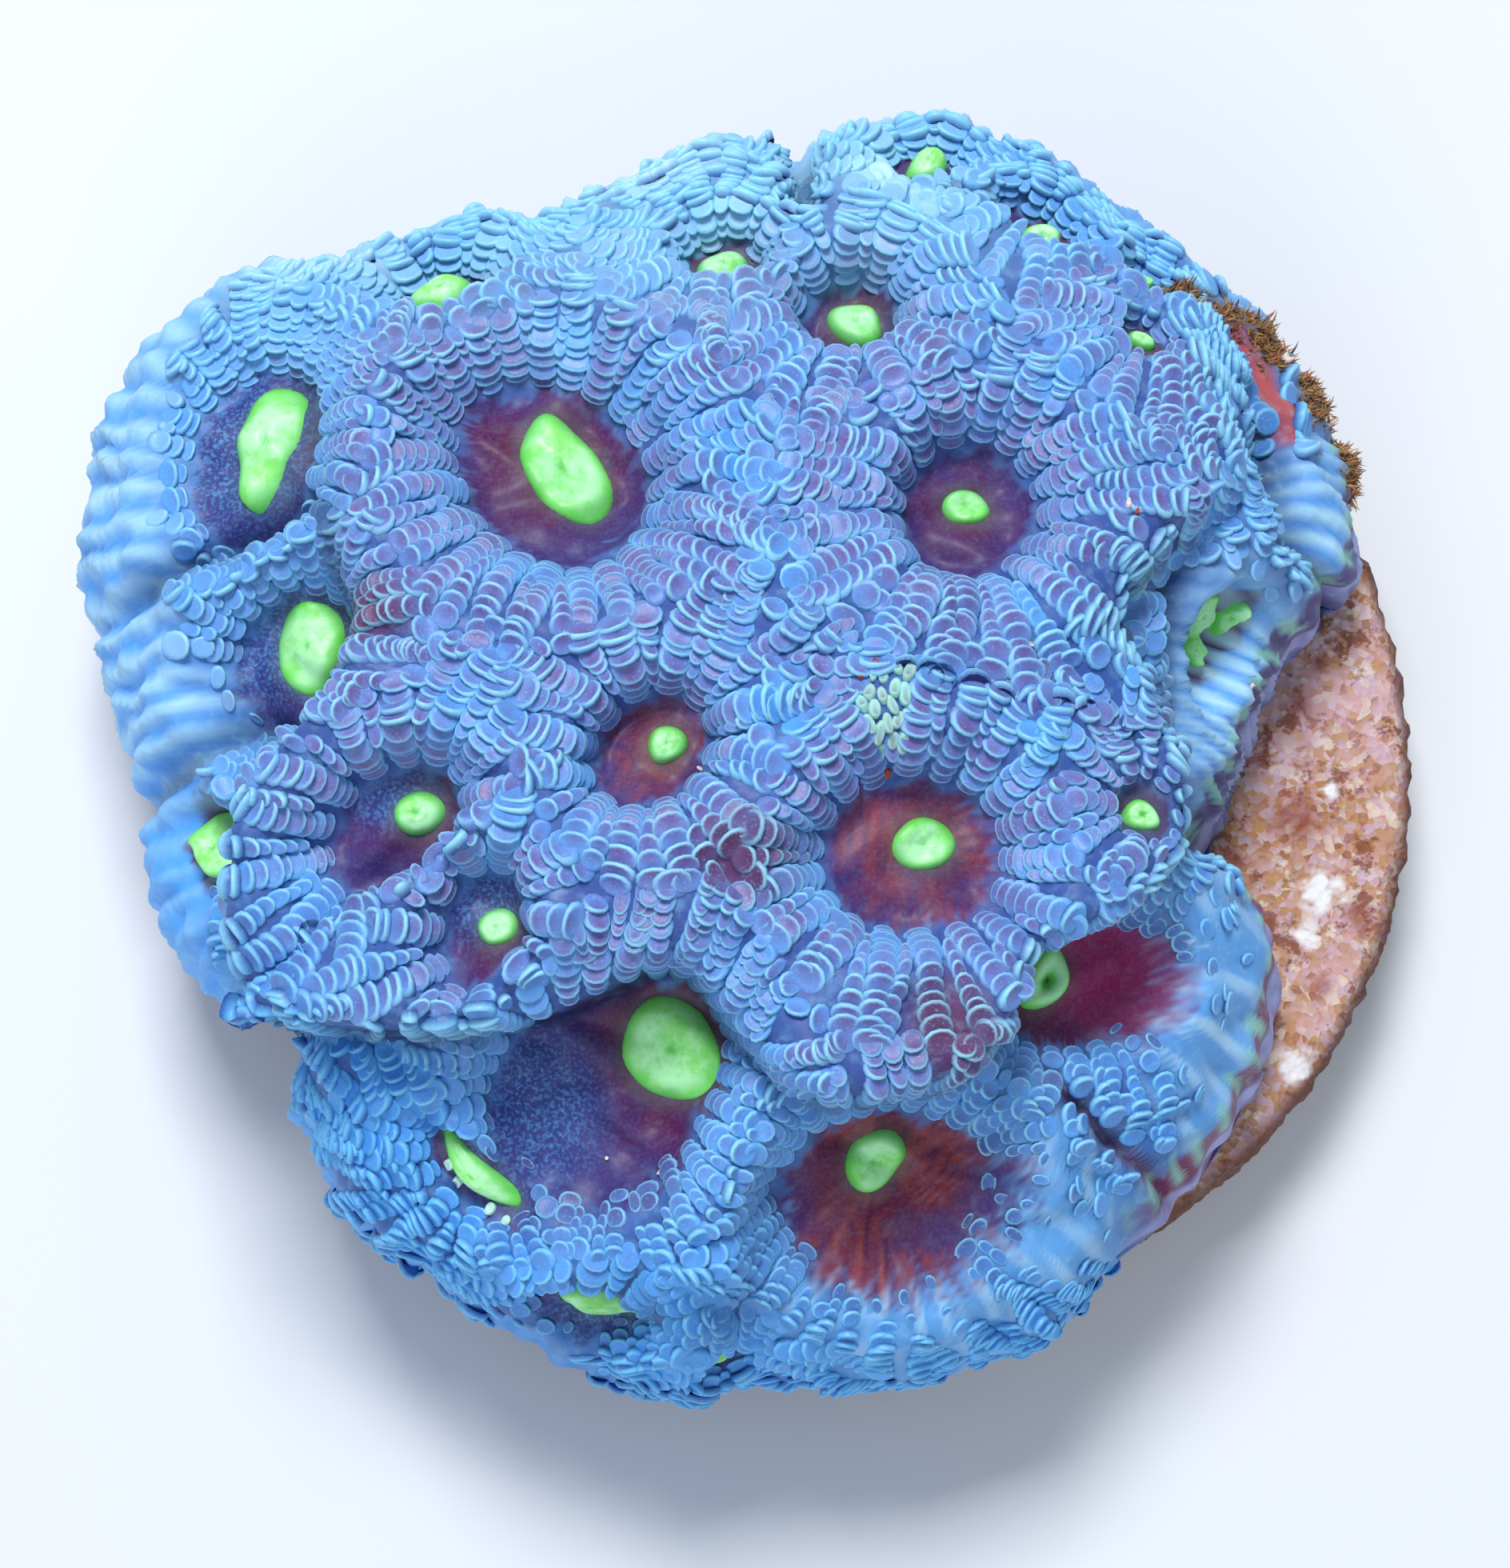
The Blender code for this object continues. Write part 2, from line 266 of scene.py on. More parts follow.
def dome(angle, share):
    """Ellipse arc from crown to margin, then a quarter turn down to the lip."""
    margin, widest, lip = rings_at(angle)
    polar = np.minimum(share, 1) * np.pi / 2
    full = 1 + SHOULDER * np.sin(2 * polar) ** 2
    drop = np.clip((share - 1) / (SHARE_LIP - 1), 0, 1) * np.pi / 2
    above = share <= 1
    reach = np.where(above, margin * np.sin(polar) * full,
                     margin * (1 - SKIRT_TUCK * (1 - np.cos(drop))))
    height = np.where(above, foot_level(polar, widest) + DOME_HEIGHT * np.cos(polar) * full,
                      widest - (widest - lip) * np.sin(drop))
    return np.stack([AXIS_X + reach * np.cos(angle), AXIS_Y + reach * np.sin(angle), height], -1)


def onto_dome(points):
    """Bearing and share of the dome's point nearest to each point, along a line to its axis."""
    dx, dy, z = points[..., 0] - AXIS_X, points[..., 1] - AXIS_Y, points[..., 2]
    angle = np.arctan2(dy, dx)
    margin, widest, lip = rings_at(angle)
    across = np.hypot(dx, dy) / margin
    polar = np.arctan2(across, (z - CROWN_LEVEL) / DOME_HEIGHT)
    for _ in range(3):
        polar = np.arctan2(across, (z - foot_level(polar, widest)) / DOME_HEIGHT)
    drop = np.arcsin(np.clip((widest - z) / (widest - lip), 0, 1)) / (np.pi / 2)
    share = np.where(z >= widest, np.minimum(polar / (np.pi / 2), 1), 1 + drop * (SHARE_LIP - 1))
    return angle, share


def dome_normal(angle, share, step=1e-3):
    """Outward normal, from differences in flat coordinates so that the crown has no pole."""
    a, b = share * np.cos(angle), share * np.sin(angle)

    def at(p, q):
        return dome(np.arctan2(q, p), np.minimum(np.hypot(p, q), SHARE_LIP))

    return unit(np.cross(at(a + step, b) - at(a - step, b), at(a, b + step) - at(a, b - step)))


print(f"crown {CROWN_LEVEL + DOME_HEIGHT:.1f} mm up, margin {MARGIN_RING.min():.1f} to"
      f" {MARGIN_RING.max():.1f} mm out")

# %% [markdown]
# ## Calyces
# A calyx is one polyp's cup. Each has a place on the dome, a valley (an ellipse, moved off the
# mouth where the cup opens to one side), a depth and a mouth. The columns of the table are its
# bearing and share; the valley's half length, half width and bearing; the valley's shift in x
# and y; the depth; and the mouth's half length, half width and bearing.

# %% Calyx table
CALYCES = {
    "upper_left": (152.8, 0.502, 2.8, 2.1, 70, -0.9, 0.0, 1.3, 1.86, 1.16, 76),
    "left": (177.2, 0.451, 2.3, 1.8, 40, -1.0, -0.5, 1.5, 1.26, 1.28, 80),
    "low_left": (197.4, 0.696, 1.3, 0.8, 110, -0.2, 0.2, 0.8, 1.05, 0.62, 118),
    "great": (128.9, 0.275, 3.1, 2.35, 120, -0.3, -0.4, 2.2, 1.76, 1.00, 112),
    "top": (71.7, 0.359, 1.35, 1.2, 30, -0.2, -0.1, 1.7, 0.85, 0.70, 150),
    "right_middle": (35.5, 0.251, 2.0, 1.7, 60, -0.1, -0.3, 2.0, 0.64, 0.52, 10),
    "centre": (234.6, 0.118, 1.6, 1.25, 50, -0.4, -0.2, 1.7, 0.52, 0.46, 60),
    "west": (207.1, 0.366, 1.9, 1.3, 40, -0.8, -0.5, 1.8, 0.60, 0.56, 20),
    "south_west": (230.2, 0.358, 1.35, 0.9, 70, -0.3, 0.0, 1.6, 0.48, 0.47, 0),
    "south_east": (313.8, 0.239, 2.3, 1.9, 15, -0.4, -0.3, 1.9, 0.84, 0.66, 5),
    "front": (260.6, 0.371, 3.5, 2.5, 38, -1.9, -1.5, 1.5, 1.44, 1.38, 100),
    "front_right": (286.4, 0.493, 2.9, 2.3, 10, 0.4, -1.5, 1.4, 1.00, 0.76, 62),
    "right_low": (316.5, 0.429, 2.3, 1.6, 20, 1.3, -0.5, 1.2, 0.95, 0.60, 58),
    "front_left": (243.1, 0.629, 1.5, 0.8, 130, -0.2, -0.3, 0.9, 1.44, 0.38, 128),
    "cliff": (257.6, 0.764, 1.5, 0.8, 172, 0.0, 0.1, 0.9, 1.05, 0.66, 172),
    "glint": (270.5, 0.850, 0.6, 0.4, 0, 0.0, 0.0, 0.5, 0.34, 0.26, 0),
    "back_left": (126.0, 0.557, 1.2, 0.8, 20, 0.0, 0.0, 1.0, 0.94, 0.60, 8),
    "back": (91.5, 0.450, 1.1, 0.9, 0, 0.0, 0.0, 1.2, 0.82, 0.66, 10),
    "far_back": (70.1, 0.605, 1.0, 0.7, 30, 0.0, 0.0, 0.8, 0.62, 0.46, 30),
    "back_right": (56.1, 0.559, 1.1, 0.8, 140, -0.3, 0.3, 1.0, 0.54, 0.44, 150),
    "brow_upper": (45.4, 0.591, 0.6, 0.4, 0, 0.0, 0.0, 0.6, 0.26, 0.22, 0),
    "brow_lower": (40.2, 0.488, 0.7, 0.4, 160, 0.0, 0.0, 0.6, 0.36, 0.24, 160),
    "right_upper": (7.4, 0.606, 0.9, 0.7, 60, 0.0, 0.0, 1.2, 0.48, 0.42, 60),
    "right": (4.7, 0.633, 1.1, 0.8, 90, 0.0, 0.0, 1.2, 0.46, 0.36, 80),
    "pale_slit": (7.7, 0.659, 0.7, 0.4, 60, 0.0, 0.0, 0.5, 0.40, 0.15, 78),
    "small_right": (337.5, 0.404, 0.6, 0.6, 0, 0.0, 0.0, 0.8, 0.34, 0.30, 100),
}


def tangents(normal, bearing):
    """Unit vectors in the tangent plane: along the bearing, and to its left."""
    heading = np.stack([np.cos(bearing), np.sin(bearing), np.zeros_like(bearing)], -1)
    along = unit(heading - normal * np.sum(heading * normal, -1, keepdims=True))
    return along, np.cross(normal, along)


(calyx_bearing, CALYX_SHARE, VALLEY_LONG, VALLEY_WIDE, valley_bearing, shift_x, shift_y,
 CALYX_DEPTH, MOUTH_LONG, MOUTH_WIDE, mouth_bearing) = np.array(list(CALYCES.values())).T.copy()
CALYX_ANGLE = np.radians(calyx_bearing)
CALYX_POINT = dome(CALYX_ANGLE, CALYX_SHARE)
SHIFT = np.stack([shift_x, shift_y, 0 * CALYX_DEPTH], -1)
VALLEY_ANGLE, VALLEY_SHARE = onto_dome(CALYX_POINT + SHIFT)
VALLEY_POINT = dome(VALLEY_ANGLE, VALLEY_SHARE)
VALLEY_NORMAL = dome_normal(VALLEY_ANGLE, VALLEY_SHARE)
VALLEY_ALONG, VALLEY_ACROSS = tangents(VALLEY_NORMAL, np.radians(valley_bearing))
MOUTH_NORMAL = dome_normal(CALYX_ANGLE, CALYX_SHARE)
MOUTH_ALONG, MOUTH_ACROSS = tangents(MOUTH_NORMAL, np.radians(mouth_bearing))
# 1 for a mouth on a steep side: it gets more room and is tilted up to show.
STEEP_MOUTH = np.where(CALYX_POINT[:, 1] > -6, ease((CALYX_SHARE - 0.44) / 0.12), 0)
MOUTH_ROOM = 0.22 + 0.22 * STEEP_MOUTH
print(f"{len(CALYCES)} calyces")

# %% [markdown]
# ## Relief
# The relief is the height of the flesh over the plain dome: a plateau in the middle, the cups
# sunk into it, creases between lobes and low ridges. It is one function of place, so that the
# skin, the lobes and the mouths all stand on the same ground. The plateau's front edge also
# leans out over the cups below it, which a height alone can't do.

# %% Relief of the flesh
PLATEAU_X, PLATEAU_Y = -4.6, 0.6
PLATEAU_FOOT = (
    (5, 9.7), (10, 9.9), (14, 11.4), (20, 13.9), (37, 15.6), (60, 15.0), (80, 13.0),
    (111, 11.8), (137, 12.4), (159, 10.1), (176, 8.5), (190, 9.4), (198, 11.6), (208, 13.0),
    (218, 13.8), (225, 12.9), (239, 10.9), (248, 9.9), (256, 8.3), (266, 7.7), (272, 9.1),
    (281, 11.2), (298, 11.9), (305, 11.5), (314, 10.2), (326, 11.5), (336, 12.0), (348, 10.9),
    (356, 10.2),
)
PLATEAU_RISE = ((0, 1.8), (60, 0.8), (110, 0.6), (160, 1.5), (200, 2.0), (240, 2.6), (310, 2.6))
PLATEAU_SLOPE = ((0, 2.0), (60, 6.0), (120, 6.0), (165, 2.2), (200, 1.6), (240, 1.4), (320, 1.5))
OVERHANG = ((0, 0.4), (30, 0.0), (150, 0.0), (180, 0.3), (215, 0.5), (250, 0.5), (330, 0.6))
PLATEAU_MIDDLE = 1.8
PLATEAU_RING = ring_table(PLATEAU_FOOT, 2.5)
RISE_RING = ring_table(PLATEAU_RISE, 8.0)
SLOPE_RING = ring_table(PLATEAU_SLOPE, 8.0)
OVERHANG_RING = ring_table(OVERHANG, 8.0)
# Each crease has a depth, a half width and a path in x and y. A negative depth is a low ridge.
CREASES = (
    (1.7, 0.50, ((-18.4, -3.1), (-16.4, -4.1), (-16.1, -6.6), (-15.4, -9.2))),
    (1.0, 0.50, ((-20.8, 2.2), (-18.1, 3.4), (-16.2, 4.0), (-14.4, 4.7))),
    (0.5, 0.22, ((4.2, -10.2), (5.9, -11.7), (7.7, -12.7))),
    (1.4, 0.40, ((-2.2, 16.2), (-2.2, 13.9), (-2.3, 12.4))),
    (0.8, 0.30, ((-1.8, 14.4), (-0.6, 14.6), (0.5, 13.9))),
    (0.9, 0.30, ((0.6, 13.5), (2.3, 12.8), (3.9, 12.1))),
    (1.0, 0.50, ((11.6, 3.6), (10.5, 6.0), (10.0, 9.2))),
    (1.4, 0.60, ((9.8, -3.4), (7.6, -2.9), (6.4, -3.4))),
    (0.9, 0.40, ((-19.8, -2.4), (-17.6, -1.5), (-16.0, -1.5))),
    (0.7, 0.25, ((10.2, 4.6), (11.6, 4.1), (13.2, 3.4))),
    (0.9, 0.30, ((10.5, 8.2), (11.0, 6.4), (10.8, 4.6))),
    (0.9, 0.34, ((7.9, 3.6), (7.4, 2.6), (7.4, 1.6), (7.6, 0.4), (8.0, -1.0))),
    (-1.0, 1.20, ((-3.4, -9.6), (-4.3, -12.4), (-5.2, -15.6))),
    (-0.5, 1.00, ((-11.0, -11.6), (-9.6, -14.4), (-8.0, -15.6))),
)
LUMP_LENGTH = 3.1
LUMP_HEIGHT = 0.22
LOBE_ROOM = 0.16
RIB_HEIGHT = 0.11


def plateau(points, share):
    """Rise of the plateau, signed distance inside its edge, and the outward plan direction."""
    dx, dy = points[..., 0] - PLATEAU_X, points[..., 1] - PLATEAU_Y
    angle = np.arctan2(dy, dx)
    inside = around(PLATEAU_RING, angle) - np.hypot(dx, dy)
    middle = ease(np.hypot(dx, dy) / 6)
    rise = around(RISE_RING, angle) * middle + PLATEAU_MIDDLE * (1 - middle)
    fade = 1 - ease((share - 0.72) / 0.28)
    outward = np.stack([np.cos(angle), np.sin(angle), 0 * angle], -1)
    return rise * fade * ease(inside / around(SLOPE_RING, angle) + 0.5), inside, outward


def path_distance(points, path):
    """Plan distance to a path, and how far along it the nearest point lies, 0 to 1."""
    best = np.full(points.shape[:-1], 1e9)
    along = np.zeros(points.shape[:-1])
    legs = len(path) - 1
    for i in range(legs):
        start = np.array(path[i])
        leg = np.array(path[i + 1]) - start
        offset = points[..., :2] - start
        t = np.clip((offset @ leg) / (leg @ leg), 0, 1)
        distance = np.linalg.norm(offset - t[..., None] * leg, axis=-1)
        along = np.where(distance < best, (i + t) / legs, along)
        best = np.minimum(distance, best)
    return best, along


def crease_depth(points):
    """Sum of Gaussian troughs along the paths, faded at their ends."""
    total = np.zeros(points.shape[:-1])
    for depth, half_width, path in CREASES:
        distance, along = path_distance(points, path)
        fade = ease(4 * along + 0.3) * ease(4 * (1 - along) + 0.3)
        total += depth * fade * np.exp(-(distance / half_width) ** 2)
    return total


def ellipse_measure(points, centre, along, across, normal, half_long, half_wide):
    """For each point and ellipse: 0 at its middle and 1 on its edge; and the distance outside."""
    offset = points[..., None, :] - centre
    long_way = np.sum(offset * along, -1) / half_long
    wide_way = np.sum(offset * across, -1) / half_wide
    height = np.sum(offset * normal, -1) / half_long
    measure = np.sqrt(long_way ** 2 + wide_way ** 2 + height ** 2)
    gap = np.linalg.norm(offset, axis=-1) * (1 - 1 / np.maximum(measure, 0.05))
    return measure, gap


def mouth_gap_of(points):
    """Distance outside each mouth's ellipse."""
    return ellipse_measure(points, CALYX_POINT, MOUTH_ALONG, MOUTH_ACROSS, MOUTH_NORMAL,
                           MOUTH_LONG, MOUTH_WIDE)[1]


def cup_measure(points):
    """The smaller measure of valley and mouth, so that the floor reaches round every mouth."""
    valley, valley_gap = ellipse_measure(points, VALLEY_POINT, VALLEY_ALONG, VALLEY_ACROSS,
                                         VALLEY_NORMAL, VALLEY_LONG, VALLEY_WIDE)
    mouth, mouth_gap = ellipse_measure(points, CALYX_POINT, MOUTH_ALONG, MOUTH_ACROSS,
                                       MOUTH_NORMAL, MOUTH_LONG + MOUTH_ROOM,
                                       MOUTH_WIDE + MOUTH_ROOM)
    return np.minimum(valley, 0.9 * mouth), np.minimum(valley_gap, mouth_gap)


def waves(points, length):
    """Smooth unrepeating undulation between -1 and 1: sines of sines of the coordinates."""
    x, y, z = np.moveaxis(points * (2 * np.pi / length), -1, 0)
    return np.sin(x + 1.3 * np.sin(y)) * np.sin(0.9 * y + 1.1 * np.sin(z + 0.4 * x))


# %% [markdown]
# Towards the margin, at the back and on the left, the flesh is drawn out into smooth ribs instead
# of lobes. SMOOTH_SIDES says how strongly on each bearing, and SMOOTH_FROM from which share
# outwards. The two RIB_PATCHES, on the right flank, have ribs too.

# %% Ribs, and the flesh as a whole
RIB_PATCHES = ((9.6, 0.2, 2.4, 3.7), (12.0, 5.5, 1.7, 2.1))
SMOOTH_SIDES = ring_table((
    (8, 0), (18, 0.9), (60, 0.9), (95, 0.9), (110, 1), (215, 1), (235, 0.7), (262, 0.5),
    (275, 0)), 6.0)
SMOOTH_FROM = ring_table((
    (10, 0.66), (30, 0.66), (50, 0.67), (70, 0.68), (95, 0.66), (130, 0.69), (150, 0.62),
    (170, 0.54), (190, 0.54), (215, 0.80), (260, 0.86)), 6.0)
RIBS_RIGHT, RIBS_LEFT = 178, 118
RIB_BEADS = 210


def spots(points, patches):
    """1 inside flat-topped elliptical patches in plan, 0 outside: exp(-r^4)."""
    x, y = points[..., 0], points[..., 1]
    field = np.zeros(x.shape)
    for middle_x, middle_y, half_x, half_y in patches:
        square = ((x - middle_x) / half_x) ** 2 + ((y - middle_y) / half_y) ** 2
        field = np.maximum(field, np.exp(-square ** 2))
    return field


def ribbed_flesh(points, angle, share):
    """1 where the flesh is drawn out into smooth ribs instead of lobes."""
    outer = ease((share - around(SMOOTH_FROM, angle)) / 0.12) * around(SMOOTH_SIDES, angle)
    return np.maximum(spots(points, RIB_PATCHES), outer)


def rib_wave(points, angle, share):
    """1 on the crest of each smooth rib near the margin, -1 between: a cosine of the bearing."""
    right = np.cos(angle) > 0
    phase = np.where(right, RIBS_RIGHT * (angle + 0.26 * share), RIBS_LEFT * angle)
    return np.cos(phase + 0.9 * waves(points, 2.7) + 1.5 * waves(points, 6.1))


def raise_flesh(angle, share):
    """Point on the flesh: the dome's, moved out by the relief and over by the overhang."""
    points = dome(angle, share)
    rise, inside, outward = plateau(points, share)
    measure, _ = cup_measure(points)
    pits = CALYX_DEPTH * (1 - ease((measure - 0.72) / 0.95))
    pit = np.sum(pits ** 4, -1) ** 0.25
    height = rise - pit - crease_depth(points) + LUMP_HEIGHT * waves(points, LUMP_LENGTH)
    height = height - LOBE_ROOM
    rib = rib_wave(points, angle, share)
    bead = 0.5 * (1 + rib) * np.cos(RIB_BEADS * share + 2 * waves(points, 1.9))
    uneven = 0.8 + 0.4 * waves(points, 5.3)
    height += RIB_HEIGHT * ribbed_flesh(points, angle, share) * uneven * (rib + 0.45 * bead)
    height *= 1 - ease((share - 1) / (SHARE_LIP - 1))
    lean = around(OVERHANG_RING, np.arctan2(outward[..., 1], outward[..., 0]))
    lean = lean * np.exp(-((inside - 0.5) / 0.8) ** 2) * (share < 0.95)
    return points + dome_normal(angle, share) * height[..., None] + outward * lean[..., None]


def flesh_at(points):
    """Point on the flesh over each point near the dome."""
    return raise_flesh(*onto_dome(points))


# %% [markdown]
# ## Colour of the flesh
# Colour follows place: maroon in the valleys and purple hearts on the plateau. Light is painted
#  too: a darker, deeper blue shade down the front and lower sides, and a pale highlight at the
#  back. Each is a number from 0 to 1, worked out once and stored on the meshes as an attribute, so
#  that skin and lobes share one map.

# %% Fields of colour
# Each patch is an ellipse in plan: its middle's x and y, and its half sizes.
PATCHES = {
    "maroon": ((-4.0, -5.2, 1.3, 0.9), (-13.0, 1.0, 1.2, 0.9), (6.7, -1.6, 0.9, 1.6),
               (0.6, -8.8, 1.0, 1.0), (-10.8, 10.9, 1.3, 0.6)),
    # Pale patches, painted as glare: at the back, on the left and right flanks, and a small white
    # highlight at (-0.3, 13.6).
    "frost": ((9.8, 0.0, 2.0, 3.4), (12.0, 5.2, 1.1, 1.6), (-20.5, 6.4, 1.0, 2.0),
              (-0.3, 13.6, 0.7, 0.7), (-15.5, 12.0, 2.6, 1.0), (-6.5, 14.6, 2.2, 1.2)),
    "mauve": ((-7.9, -13.0, 3.0, 2.2),),
    "calm": ((-7.9, -16.1, 2.2, 0.9), (0.6, -15.2, 3.4, 1.4), (4.2, -13.4, 2.6, 2.3),
             (8.4, -8.0, 2.5, 3.8), (-7.7, -12.4, 2.5, 2.2)),
    "fan": ((0.6, -15.7, 3.8, 2.0), (4.2, -13.6, 2.9, 2.7), (8.8, -8.0, 2.4, 4.2)),
    "crimson": ((6.0, -7.5, 2.0, 1.6),),
    "indigo": ((-7.6, -16.4, 2.2, 1.0), (-17.6, 6.8, 2.6, 3.2), (-16.6, 1.2, 2.6, 2.2),
               (-9.6, -11.4, 1.9, 2.2), (-10.4, -5.9, 1.3, 1.2), (-12.8, -3.2, 1.2, 1.0)),
    "turf": ((8.0, 11.0, 0.9, 0.6), (9.4, 10.8, 0.8, 0.7), (10.6, 10.3, 0.8, 0.8),
             (11.9, 9.0, 0.7, 0.9), (12.9, 7.4, 0.5, 1.0)),
    # A painted shadow along the front's lower edge.
    "shady": ((-5.6, -15.6, 3.2, 1.0),),
}
MAROON_GROOVE = ((4.2, -10.2), (5.9, -11.7), (7.7, -12.7))
CORALLINE_STREAK = ((9.5, 10.2), (10.4, 9.2), (11.2, 7.7))
BAND_WINDOW = ring_table(((290, 0), (306, 0), (312, 1), (345, 1), (22, 1), (30, 0)), 1.5)
LIP_NOTCHES = 236
BAND_TEETH = 118


def fields(points, angle, share):
    """Colour numbers, each from 0 to 1, by name."""
    measure, _ = cup_measure(points)
    spot = {key: spots(points, patches) for key, patches in PATCHES.items()}
    calm = spot["calm"]
    wobble = 0.10 * waves(points, 1.3) + (0.06 + 0.12 * calm) * waves(points, 0.57)
    edge = (measure + wobble[..., None] - 0.80) / (0.32 + 0.9 * calm[..., None])
    valley = np.max(1 - ease(edge), -1)
    x, y = points[..., 0], points[..., 1]
    _, inside, _ = plateau(points, share)
    on_top = ease((inside + 0.4) / 1.6)
    back = ease((y - 7.0) / 7.0)
    dusk = 0.5 * waves(points, 6.3) + 0.35 * waves(points + 2, 3.7) + 0.2 * waves(points, 2.1)
    purple = 0.30 + on_top * (0.60 + dusk)
    # Painted highlight: pale at the back, where the lamp's light falls, and a little towards the
    # margin.
    pale = 0.6 * back + 0.35 * waves(points, 5.1) * back + 0.2 * ease(share - 0.2)
    far_right = ease((x - 0.5) / 3.5)
    pale = pale * (1 - 0.8 * far_right)
    # Painted shade: the front and lower sides, turned from the lamp, are given a darker, deeper
    # blue.
    front = ease((-y - 2.5) / 6.5) * ease((-x - 1.0) / 5.0) * ease((share - 0.45) / 0.2)
    clear = np.maximum(front, ease((share - 0.45) / 0.5) * (1 - 0.6 * back))
    clear = clear * (1 - 0.6 * spot["mauve"])
    # Painted shade: a dark line along the foot of the plateau's front edge, under its overhang, and
    # darkening in the creases.
    foot = np.exp(-((inside + 0.35) / 0.4) ** 2) * (y < 4) * (share < 0.9)
    creased = 0.7 * crease_depth(points) * (1 - ease((x - 3) / 0.5) * (y < -8))
    from_margin = around(MARGIN_RING, angle) - np.hypot(x - AXIS_X, y - AXIS_Y)
    window = around(BAND_WINDOW, angle)
    skirt = ease((share - 1.03) / 0.05)
    notch = 0.62 + 0.38 * np.cos(LIP_NOTCHES * angle + 2.5 * waves(points, 1.7))
    lip = ease((0.34 - from_margin) / 0.12) * window * (1 - skirt)
    lip = lip * (0.25 + 0.75 * ease((from_margin - 0.02) / 0.10)) * notch ** 0.5
    band = ease((0.80 - from_margin) / 0.15) * window * (1 - lip) * (1 - 0.25 * skirt)
    beat = np.cos(BAND_TEETH * angle + 1.2 * waves(points, 4.0))
    teeth = ease((1.02 - from_margin) / 0.15) * ease((from_margin - 0.30) / 0.15) * window
    coralline = np.exp(-(path_distance(points, CORALLINE_STREAK)[0] / 0.34) ** 4)
    groove = np.exp(-(path_distance(points, MAROON_GROOVE)[0] / 0.25) ** 2)
    ribbed = ribbed_flesh(points, angle, share)
    # Paler flesh along the rib crests, less so at the far right back and the front left.
    crest = 0.5 + 0.5 * rib_wave(points, angle, share)
    dim = np.maximum(0.6 * far_right * back, 0.7 * ease((-y - 1.0) / 3.0) * (x < 0))
    crested = 0.75 * ribbed * crest * (1 - dim)
    found = dict(
        valley=valley, groove=groove, ribbed=ribbed, calm=calm, fan=spot["fan"], pale=pale,
        clear=clear, band=band, lip=lip, turf=spot["turf"], coralline=coralline,
        crimson=spot["crimson"], indigo=spot["indigo"],
        patch=np.maximum(spot["maroon"], groove),
        tuck=ease((share - 1.02) / 0.22) * (1 - window),
        strip=ease((1.45 - from_margin) / 0.2) * window,
        purple=np.maximum(purple * (1 - 0.5 * back), 0.8 * spot["mauve"]),
        # painted shade: the plateau's foot, the creases and the shady patch at the front
        deep=foot + 0.5 * spot["shady"] + creased,
        # Partly painted glare over the pale patches, partly paler flesh along the rib crests.
        frost=np.maximum(spot["frost"] * (1 - ribbed + ribbed * crest), crested),
        teeth=teeth * ease((beat - 0.25) / 0.4),
        lower=window * ease((-3.0 - y) / 0.8))
    return {key: np.clip(values, 0, 1) for key, values in found.items()}


# %% [markdown]
# ## Building meshes from arrays
# Every new piece is worked out as whole arrays of points and faces. One helper writes the arrays
#  into a mesh, adds the colour numbers, hangs the piece on its body and hides the plain solid that
#  it replaces, if any.

# %% Mesh helper
def add_piece(name, points, faces, finish, numbers=None, replaces=None):
    """Makes an object from points in millimetres and a list of faces."""
    mesh = bpy.data.meshes.new(name)
    mesh.from_pydata((points * MM).tolist(), [], faces)
    mesh.shade_smooth()
    for key, values in (numbers or {}).items():
        layer = mesh.attributes.new(key, "FLOAT", "POINT")
        layer.data.foreach_set("value", np.ascontiguousarray(values, np.float32).ravel())
    mesh.materials.append(finish)
    piece = bpy.data.objects.new(name, mesh)
    bpy.context.scene.collection.objects.link(piece)
    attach(piece, "root")
    if replaces:
        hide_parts(replaces)
    print(f"{name}: {sum(len(face) - 2 for face in faces)} triangles")


def fan_faces(start, rings, sides):
    """Triangles round a middle point, then quads between the rings that follow it."""
    k = np.arange(sides)
    faces = np.stack([0 * k + start, start + 1 + k, start + 1 + (k + 1) % sides], -1).tolist()
    i, k = np.meshgrid(np.arange(rings - 1), k, indexing="ij")
    low, after = start + 1 + i * sides, (k + 1) % sides
    quads = np.stack([low + k, low + sides + k, low + sides + after, low + after], -1)
    return faces + quads.reshape(-1, 4).tolist()


def grid_faces(rows, columns, start=0):
    """Quads of a grid whose points run along each row of columns."""
    i, j = np.meshgrid(np.arange(rows - 1), np.arange(columns - 1), indexing="ij")
    corner = (start + i * columns + j).ravel()
    return np.stack([corner, corner + 1, corner + columns + 1, corner + columns], -1).tolist()


# %% [markdown]
# ## The flesh's finishes
# Living coral flesh is moist and a little see-through: light goes in, scatters and comes back
# out coloured. A small amount of subsurface scattering and a thin wet coat give that. The colours
# are mixed from the stored numbers, and a fine noise breaks them up.

# %% Flesh finishes
RIM_BLUE = shade(156, 230, 255)
# Painted shade: the deeper blue rim colour on the front and lower sides.
SIDE_SHADE_RIM = shade(108, 200, 255)
BODY_BLUE = shade(86, 168, 244)
# Painted shade: the deeper blue flesh colour on the front and lower sides.
SIDE_SHADE_BLUE = shade(52, 158, 250)
HEART_PURPLE = shade(116, 104, 176)
# Dark violet of the painted shade between the lobes and at their bases.
GAP_SHADE_VIOLET = shade(48, 78, 152)
# Pale blue, for the painted highlight at the back and for fine pale grain.
PALE_FLESH = shade(166, 226, 254)
